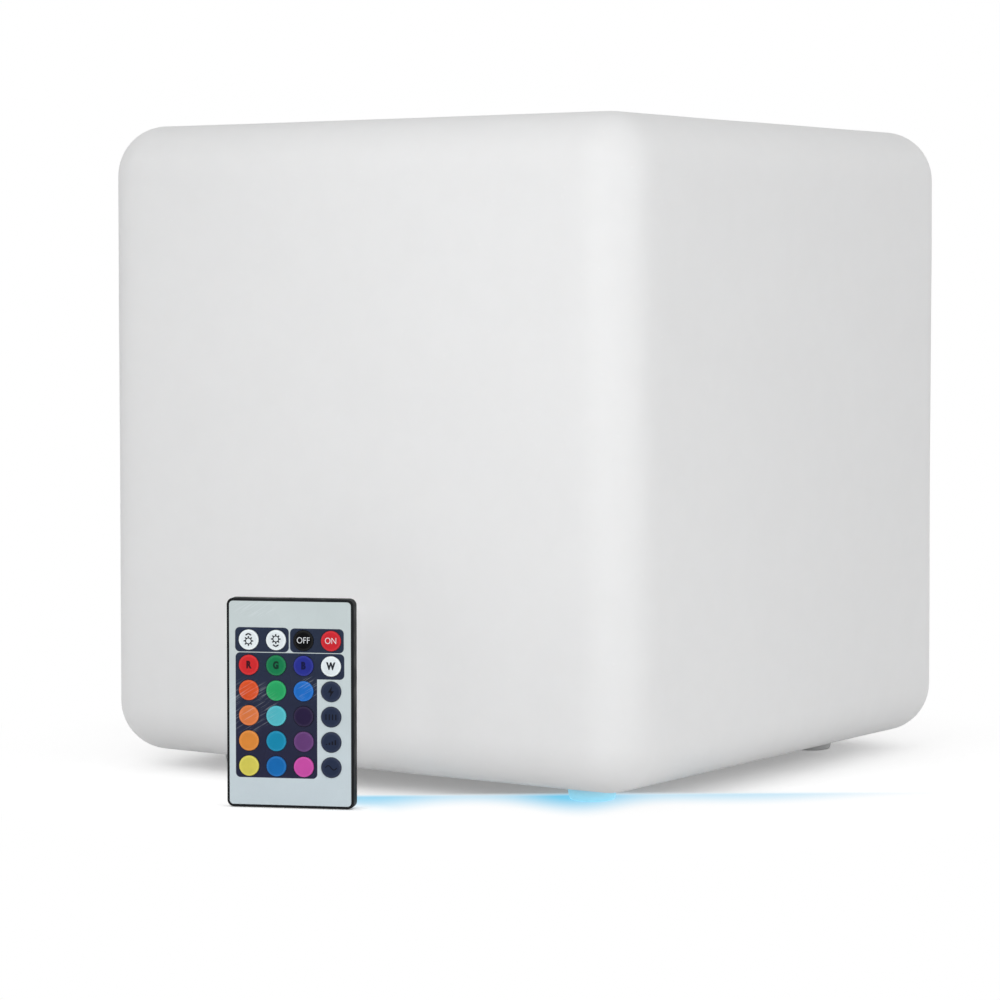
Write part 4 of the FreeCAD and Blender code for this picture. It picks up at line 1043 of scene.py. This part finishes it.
COLUMN_PITCH, ROW_PITCH, KEY_RADIUS = 11.65, 10.5, 4.2
KEY_COLUMNS = [COLUMN_PITCH * (column - 1.5) for column in range(4)]
KEY_ROWS = [HALF_LENGTH + ROW_PITCH * (2.5 - row) for row in range(6)]
SHEET_THICKNESS, SHEET_BEVEL = 0.4, 0.04
KEY_GAP, HOLE_STEPS = 0.16, 56


def sheet_outlines(hole_radius):
    """Rounded outline of the face and a circle for each key."""
    half_width, half_length = HALF_WIDTH - FACE_INSET, HALF_LENGTH - FACE_INSET
    ring = rounded_ring(half_width, half_length, CORNER - FACE_INSET, 0, HALF_LENGTH)
    edge = [(point.x / MM, point.z / MM) for point in ring]
    holes = [
        [polar(hole_radius, angle, (x, z)) for angle in around(HOLE_STEPS)]
        for x in KEY_COLUMNS for z in KEY_ROWS
    ]
    return [edge] + holes


FACE_SHEET = make_sheet_material()
outlines = sheet_outlines(KEY_RADIUS + KEY_GAP)
face_mesh = flat_plate("face sheet", outlines, SHEET_THICKNESS, SHEET_BEVEL)
face = add_piece(
    "handset_face_sheet", face_mesh, FACE_SHEET, "handset", ["remote_overlay"], HANDSET_PLACE
)
print("face sheet", len(face.data.vertices), "points")

# %% [markdown]
# ## The keys
# Each key is a smooth rubber disc that stands a little proud of the sheet. In the photograph they
# read as flat spots of strong colour with a faint bright ring where the edge turns away, so the
# outline has a flat top and a small, true radius, and the material adds a paler rim there, a painted
# highlight. One function turns all 24, and another makes their material from a colour, so the film
# marks run on over them from the sheet.

# %% Keys and their material
KEY_COLOURS = {
    "brighter": (219, 227, 230), "dimmer": (219, 227, 230), "off": (3, 4, 6), "on": (196, 38, 48),
    "red": (200, 42, 46), "green": (22, 118, 74), "blue": (38, 46, 136), "white": (219, 227, 231),
    "orange_red": (208, 80, 38), "light_green": (40, 158, 96), "azure": (30, 106, 190),
    "flash": (38, 47, 70), "orange": (214, 118, 66), "cyan": (80, 178, 190),
    "dark_purple": (38, 28, 60), "strobe": (38, 47, 70), "amber": (214, 134, 58),
    "teal": (22, 133, 170), "purple": (98, 60, 114), "fade": (38, 47, 70),
    "yellow": (208, 198, 88), "sky_blue": (22, 104, 174), "pink": (194, 76, 160),
    "smooth": (38, 47, 70),
}
KEY_PROUD, KEY_EDGE, KEY_FLANGE = 0.5, 0.32, 4.85


def make_rim():
    """Mask of the painted highlight, growing towards the rim of a round key, sizes in millimetres."""
    names = ("Across", "Up", "Centre Across", "Centre Up")
    group, given, out = start_group("key rim", dict.fromkeys(names, 0.0), "Mask")
    across = less(group, given["Across"], given["Centre Across"])
    up = less(group, given["Up"], given["Centre Up"])
    place = put(group, "CombineXYZ", {"X": across, "Y": up}).outputs[0]
    fill(group, out["Mask"], spread(group, length(group, place), 2.9, 4.1))
    return group


RIM = make_rim()


def make_key_material(name, colour, centre):
    """Smooth coloured rubber under the same film as the sheet, with a painted highlight that makes it paler
    towards its rim.
    """
    material, tree, shader = new_material("key colour " + name.replace("_", " "))
    across, up = face_place(tree)
    base = use(tree, DRIFT, Colour=seen(*colour), Amount=0.05, Scale=140.0)["Colour"]
    rim = use(tree, RIM, Across=across, Up=up, Centre_Across=centre[0], Centre_Up=centre[1])["Mask"]
    # The paler rim is a painted highlight where the key's rounded edge turns away.
    light = paler(seen(*colour), 1.25, 0.025)
    wear_and_highlight = mix(tree, product(tree, rim, 0.55), base, light)
    under_film(
        tree, shader, across, up, wear_and_highlight, grain=(1300.0, 0.4), rough=(0.30, 0.42),
        film_rough=0.2, depth=0.05, specular=0.08,
    )
    return material


def make_key_mesh(across, up):
    """Turned key with a flat top, a small radius and its hidden flange."""
    maker = bmesh.new()
    outline = [(0, -KEY_PROUD - 0.02), (2.2, -KEY_PROUD - 0.02), (3.4, -KEY_PROUD)]
    outline += arc_outline((KEY_RADIUS - KEY_EDGE, KEY_EDGE - KEY_PROUD), KEY_EDGE, -90, 0, 5)
    outline += [(KEY_RADIUS, 1.25), (KEY_FLANGE, 1.25), (KEY_FLANGE, 1.7)]
    outline += [(2.6, 1.7), (2.6, 1.8), (0, 1.8)]
    turn_outline(maker, outline, (across, 0, up), segments=64, axis="Y")
    return finish_mesh("key", maker)


key_centres = {}
for number, (name, colour) in enumerate(KEY_COLOURS.items()):
    across, up = KEY_COLUMNS[number % 4], KEY_ROWS[number // 4]
    key_centres[name] = (across, up)
    finish = make_key_material(name, colour, (across, up))
    add_piece(
        "handset_key_" + name, make_key_mesh(across, up), finish, "press_" + name,
        ["key_" + name], HANDSET_PLACE,
    )
print("keys", len(key_centres))

# %% [markdown]
# ## What is printed on the keys
# ON, OFF and the first letters of the colours are plain switch words, so they are set in Blender's
# own font, narrowed to look stamped, and the single letters are thickened too. The two dimmer keys
# carry a sun with a small caret. The four dark keys get simple signs for flash, strobe, fade and
# smooth change. Every mark is a flat mesh that lies just above its key and rides with it.

# %% Printing inks
INK_LEVEL = -KEY_PROUD - 0.035
CAPITAL_SHARE = 0.72
# Height, narrowing and thickening of whole words and of single letters.
WORD_STYLE = (2.7, 0.86, -0.03)
LETTER_STYLE = (2.9, 0.8, 0.26)


def ink(name, colour):
    """Matt printing ink."""
    return solid(
        name, colour, rough=0.5, grain=1800.0, depth=0.04, wear_and_highlight=0.0, dusty=0.0, **{"Specular IOR Level": 0.12}
    )


DARK_INK = ink("dark ink", (34, 38, 46))
WHITE_INK = ink("white ink", (226, 229, 232))
RED_INK = ink("dark red ink", (60, 16, 26))
GREEN_INK = ink("dark green ink", (8, 44, 36))
BLUE_INK = ink("deep blue ink", (10, 14, 60))
FAINT_INK = ink("faint navy ink", (12, 15, 26))


print("ink level", round(INK_LEVEL, 3), "mm")

# %% [markdown]
# ## Flat meshes for marks
# A word is a text object turned into a mesh. A sign is a handful of flat convex shapes: bars for
# strokes, and a ring in short pieces. Both are drawn in millimetres in the handset's face plane.

# %% Words, rings and bars
def word_mesh(text, height, narrow, heavy):
    """Mesh of a short word, centred on the origin of the face plane."""
    curve = bpy.data.curves.new("word", "FONT")
    curve.body = text
    curve.align_x, curve.align_y = "CENTER", "CENTER"
    curve.size = height / CAPITAL_SHARE * MM
    curve.offset = heavy * MM
    curve.resolution_u = 6
    mesh = mesh_of(curve)
    mesh.transform(Matrix(((narrow, 0, 0, 0), (0, 0, 1, 0), (0, 1, 0, 0), (0, 0, 0, 1))))
    return mesh


def flat_shapes(shapes):
    """Flat mesh of convex shapes given as rows of (across, up) in millimetres."""
    maker = bmesh.new()
    for shape in shapes:
        maker.faces.new([maker.verts.new(Vector((x, 0, z)) * MM) for x, z in shape])
    return finish_mesh("sign", maker)


def ring_shapes(radius, width, count, centre):
    """A flat ring as short convex pieces."""
    shapes = []
    for step in range(count):
        start, end = (2 * math.pi * (step + more) / count for more in (0, 1))
        row = ((radius, start), (radius + width, start), (radius + width, end), (radius, end))
        shapes.append([polar(*spot, centre) for spot in row])
    return shapes


def bar(x0, z0, x1, z1, width):
    """A straight stroke between two points."""
    ahead = Vector((x1 - x0, z1 - z0)).normalized()
    aside = Vector((-ahead.y, ahead.x)) * width / 2
    start, end = Vector((x0, z0)), Vector((x1, z1))
    return [tuple(point) for point in (start - aside, end - aside, end + aside, start + aside)]


def ray_shapes(inner, outer, width, count, centre):
    """Short bars that stand out from a ring."""
    ends = [(polar(inner, angle, centre), polar(outer, angle, centre)) for angle in around(count)]
    return [bar(*start, *end, width) for start, end in ends]


print("a bar has", len(bar(0, 0, 1, 0, 0.2)), "corners")

# %% [markdown]
# ## The signs
# The sun of the dimmer keys is a ring with eight rays, and the caret over it or under it says
# brighter or darker. Flash is a bolt, strobe four even bars, fade bars that rise, smooth a wave.

# %% Signs of the keys
def sun_shapes(way):
    """A sun with a small caret above it or below it."""
    shift = -0.5 * way
    shapes = ring_shapes(1.0, 0.42, 40, (0, shift)) + ray_shapes(1.35, 2.05, 0.58, 8, (0, shift))
    foot, tip = 2.4 * way + shift, 3.1 * way + shift
    shapes += [bar(-1.2, foot, 0, tip, 0.6), bar(0, tip, 1.2, foot, 0.6)]
    return shapes


def wave_shapes():
    """A smooth wave."""
    points = [(-2.4 + 4.8 * step / 24, 0.9 * math.sin(2 * math.pi * step / 24)) for step in range(25)]
    return [bar(*start, *end, 0.42) for start, end in zip(points, points[1:])]


def fade_shapes():
    """Bars that rise from left to right."""
    return [bar(x, -1.0, x, -0.6 + 0.55 * step, 0.62) for step, x in enumerate((-1.9, -0.65, 0.6, 1.85))]


BOLT = [[(0.5, 2.4), (-1.3, -0.3), (0.1, -0.3)], [(-0.5, -2.4), (1.3, 0.3), (-0.1, 0.3)]]
SIGNS = {
    "brighter": (sun_shapes(1), DARK_INK),
    "dimmer": (sun_shapes(-1), DARK_INK),
    "flash": (BOLT, FAINT_INK),
    "strobe": ([bar(x, -1.2, x, 1.2, 0.5) for x in (-2.1, -0.7, 0.7, 2.1)], FAINT_INK),
    "fade": (fade_shapes(), FAINT_INK),
    "smooth": (wave_shapes(), FAINT_INK),
}
print("signs", len(SIGNS))

# %% [markdown]
# ## Marks laid on their keys
# Each mark is moved to the middle of its key and rides with that key's body, so it goes down with it.

# %% Marks on the keys
WORDS = {
    "off": ("OFF", WHITE_INK), "on": ("ON", WHITE_INK), "red": ("R", RED_INK),
    "green": ("G", GREEN_INK), "blue": ("B", BLUE_INK), "white": ("W", DARK_INK),
}


def print_on_key(name, mesh, finish):
    """Lay a flat mark on its key."""
    across, up = key_centres[name]
    mesh.transform(Matrix.Translation(Vector((across, INK_LEVEL, up)) * MM))
    add_piece("mark_" + name, mesh, finish, "press_" + name, (), HANDSET_PLACE, smooth=0)


for name, (shapes, finish) in SIGNS.items():
    print_on_key(name, flat_shapes(shapes), finish)
for name, (text, finish) in WORDS.items():
    style = WORD_STYLE if len(text) > 1 else LETTER_STYLE
    print_on_key(name, word_mesh(text, *style), finish)
print("marks", len(SIGNS) + len(WORDS))

# %% [markdown]
# ## Pieces whose CAD shape is already right
# Screws, inserts, boards, cells and the socket have their true form in the frame, so they only need
# a finish. Circuit boards get lacquer over faint tracks, the light chips yellow resin, and the cells a
# glossy wrap. Most of this is sealed inside, but it is there when the lamp is opened up in another
# scene.

# %% Boards, chips and cells
def board(name, lacquer, track):
    """Lacquered board with tracks showing through."""
    material, tree, shader = new_material(name)
    bricks = {"Scale": 160.0, "Mortar Size": 0.03, "Brick Width": 1.3, "Row Height": 0.45}
    grid = put(tree, "TexBrick", {"Vector": object_place(tree), **bricks})
    tracks = use(tree, DRIFT, Colour=seen(*lacquer), Amount=0.08, Scale=90.0)["Colour"]
    mask = product(tree, grid.outputs["Fac"], 0.6)
    printed = mix(tree, mask, tracks, seen(*track))
    skin = use(tree, GRAIN, Scale=900.0, Coarse=0.3)
    rough = between(tree, skin["Mottle"], 0.25, 0.4)
    dress(tree, shader, printed, rough, (grid.outputs["Fac"], 0.15, 0.00005), {})
    return material


# The finish of each CAD node; nodes that share one are named together.
FINISHES = {
    "base_plate": BASE_WHITE,
    "diffuser_dome": solid("thin milky diffuser", (240, 240, 238), rough=0.5, grain=600.0, depth=0.03),
    "base_screws led_board_screws cover_pin": metal("zinc plated steel", (196, 198, 200)),
    "tact_switch remote_domes coin_cell battery_contacts": metal("spring steel", (205, 205, 205), 0.22),
    "thread_inserts": metal("turned brass", (200, 165, 95), 0.28),
    "base_seal dome_seal button_seal": BLACK_RUBBER,
    "jack_cover": solid("soft black flap", (44, 44, 46), 0.75, grain=1700.0, depth=0.12, dusty=0.25),
    "battery_holder charge_jack remote_front": solid("inner black plastic", (30, 30, 32), 0.5, 1200.0),
    "battery_tray": CASE_BLACK,
    "control_board remote_board": board("green lacquered board", (28, 92, 60), (60, 130, 84)),
    "led_board": board("white lacquered board", (232, 233, 230), (212, 214, 212)),
    "control_chips remote_chip": solid("moulded chip", (34, 34, 36), 0.6, grain=2200.0, depth=0.15),
    "led_chips": solid("light chip resin", (236, 222, 150), rough=0.3, grain=1200.0),
    "battery_cells": solid("cell wrap", (48, 110, 165), rough=0.25, grain=300.0, depth=0.05),
    "ir_receiver": solid("dark violet resin", (44, 26, 50), rough=0.15, grain=400.0, depth=0.02),
    "charge_light remote_ir_led": solid("pale clear resin", (214, 222, 230), 0.12, 300.0, depth=0.02),
    "battery_leads led_leads": solid("red lead insulation", (176, 36, 34), rough=0.5, grain=900.0),
}
finished = 0
for nodes, finish in FINISHES.items():
    for node in nodes.split():
        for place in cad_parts[node].material_slots:
            place.material = finish
        finished += 1
print("finished CAD nodes:", finished)

# %% [markdown]
# ## Floor and light
# The lamp stands on a plain white ground that runs out to white. Two things have to hold at once:
# the ground must read as white while the cube, lit by the same lamps, keeps its soft greys. The
# ground's material therefore looks brighter to the camera, and to what reflects it, than it is to
# the light that bounces off it, and further out it passes into plain white. It still takes the
# shadows. In front of the near corner a faint cyan glow is painted on the ground, where light spills
# from underneath, and from where it starts the ground is painted plain white over the shadow.

# %% Ground
GROUND_REACH = 6.0
GROUND_LEVEL = -0.0002
GROUND_BRIGHT = 1.32
HANDSET_SHADOW = 0.8
GLOW_COLOUR = seen(124, 208, 242)


def make_handset_strip():
    """Mask of the strip of ground along the handset's foot, where its own shadow stays."""
    group, given, out = start_group("handset strip", {"Width": 0.02}, "Mask")
    turning = {
        "Vector": object_place(group), "Center": HANDSET_PLACE.translation, "Angle": -HANDSET_TURN,
    }
    turned = put(group, "VectorRotate", turning, rotation_type="Z_AXIS")
    from_foot = put(group, "VectorMath", operation="SUBTRACT")
    fill(group, from_foot.inputs[0], turned.outputs[0])
    fill(group, from_foot.inputs[1], HANDSET_PLACE.translation)
    local = parts(group, from_foot.outputs[0])
    beside = less(group, calc(group, "ABSOLUTE", local["X"]), HALF_WIDTH * MM)
    beside = calc(group, "MAXIMUM", beside, 0.0)
    distance = distance_from(group, beside, local["Y"])
    share = calc(group, "DIVIDE", distance, given["Width"])
    fill(group, out["Mask"], spread(group, share, 1.0, 0.0))
    return group


def make_ground_material():
    """White ground that keeps shadows, with a painted faint glow in front of the near corner."""
    material, tree, shader = new_material("white ground")
    tree.nodes.remove(shader)
    place = object_place(tree)
    radius = length(tree, place)
    path = put(tree, "LightPath").outputs
    watched = calc(tree, "MAXIMUM", path["Is Camera Ray"], path["Is Glossy Ray"])
    watched = calc(tree, "MAXIMUM", watched, path["Is Transmission Ray"])
    bright = between(tree, watched, 0.80, GROUND_BRIGHT)
    even = spread(tree, cloud(tree, place, 9.0, 2.0), 0.3, 0.7, 0.98, 1.02)
    spill = use(tree, SPILL)
    plain_white = (1.0, 1.0, 1.0, 1.0)
    # The cyan glow in front of the near corner is painted light, given off by the ground itself.
    glow = mix(tree, spill["Glow"], plain_white, GLOW_COLOUR)
    outwards = spread(tree, radius, 0.13, 0.28, 0.25, 1.0)
    # Where the painted glow starts, the ground is also painted plain white over the shadow there.
    far = calc(tree, "MAXIMUM", outwards, product(tree, spill["Reach"], 0.95))
    near_foot = product(tree, use(tree, make_handset_strip())["Mask"], HANDSET_SHADOW)
    white_share = product(tree, far, less(tree, 1.0, near_foot), watched)
    lit_share = product(tree, less(tree, 1.0, white_share), product(tree, bright, even))
    cloth = put(tree, "BsdfDiffuse", {"Color": scaled(tree, plain_white[:3], lit_share)})
    white = put(tree, "Emission", {"Color": scaled(tree, glow, white_share), "Strength": 1.0})
    both = put(tree, "AddShader")
    fill(tree, both.inputs[0], cloth.outputs[0])
    fill(tree, both.inputs[1], white.outputs[0])
    fill(tree, tree.nodes["Material Output"].inputs["Surface"], both.outputs[0])
    return material


maker = bmesh.new()
bmesh.ops.create_grid(maker, x_segments=8, y_segments=8, size=GROUND_REACH)
ground_mesh = bpy.data.meshes.new("ground")
maker.to_mesh(ground_mesh)
maker.free()
ground_mesh.materials.append(make_ground_material())
ground = new_object("ground", ground_mesh)
ground.location.z = GROUND_LEVEL
print("ground reaches", GROUND_REACH, "m")

# %% [markdown]
# ## Lamps
# Most of the light is even and comes from all round, as in a white tent: it fills the faces and
# leaves the soft dark band under the cube. A small lamp in front brightens the wide side towards the
# near edge, and one further off lifts the other side. A dim card behind the handset gives back the
# light that the handset keeps from the cube, so it rides with the handset.

# %% World and lamps
def make_world():
    """Even white light, and plain white where it is seen."""
    world = bpy.data.worlds.new("white tent")
    world.use_nodes = True
    tree = world.node_tree
    path = put(tree, "LightPath").outputs
    watched = calc(tree, "MAXIMUM", path["Is Camera Ray"], path["Is Transmission Ray"])
    strength = between(tree, watched, AMBIENT, 1.0)
    back = tree.nodes["Background"]
    back.inputs["Color"].default_value = (1.0, 1.0, 1.0, 1.0)
    fill(tree, back.inputs["Strength"], strength)
    bpy.context.scene.world = world


def soft_lamp(name, location, target, size, power):
    """A square area lamp that looks at a target."""
    data = bpy.data.lights.new(name, "AREA")
    data.shape = "SQUARE"
    data.size = size
    data.energy = power
    lamp = new_object(name, data)
    lamp.location = location
    way = Vector(target) - Vector(location)
    lamp.rotation_euler = way.to_track_quat("-Z", "Y").to_euler()
    lamp.visible_camera = False
    return lamp


AMBIENT = 0.71
CARD_DEPTH = 9.5
CARD_HEIGHT = 38.0
CARD_AIM = 60.0
make_world()
soft_lamp("near lamp", (0.08, -0.54, 0.30), (0.08, -0.14, 0.15), size=0.25, power=0.57)
soft_lamp("side lamp", (0.85, -0.30, 0.30), (0.14, -0.02, 0.13), size=0.4, power=1.25)
card_place = HANDSET_PLACE @ Vector((0, CARD_DEPTH * MM, CARD_HEIGHT * MM))
card_target = HANDSET_PLACE @ Vector((0, CARD_AIM * MM, CARD_HEIGHT * MM))
card = soft_lamp("handset card", card_place, card_target, size=HALF_WIDTH * 2 * MM, power=0.0122)
card.data.shape = "RECTANGLE"
card.data.size_y = CARD_HEIGHT * 2 * MM
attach(card, "handset")
bpy.context.scene.view_settings.view_transform = "Standard"
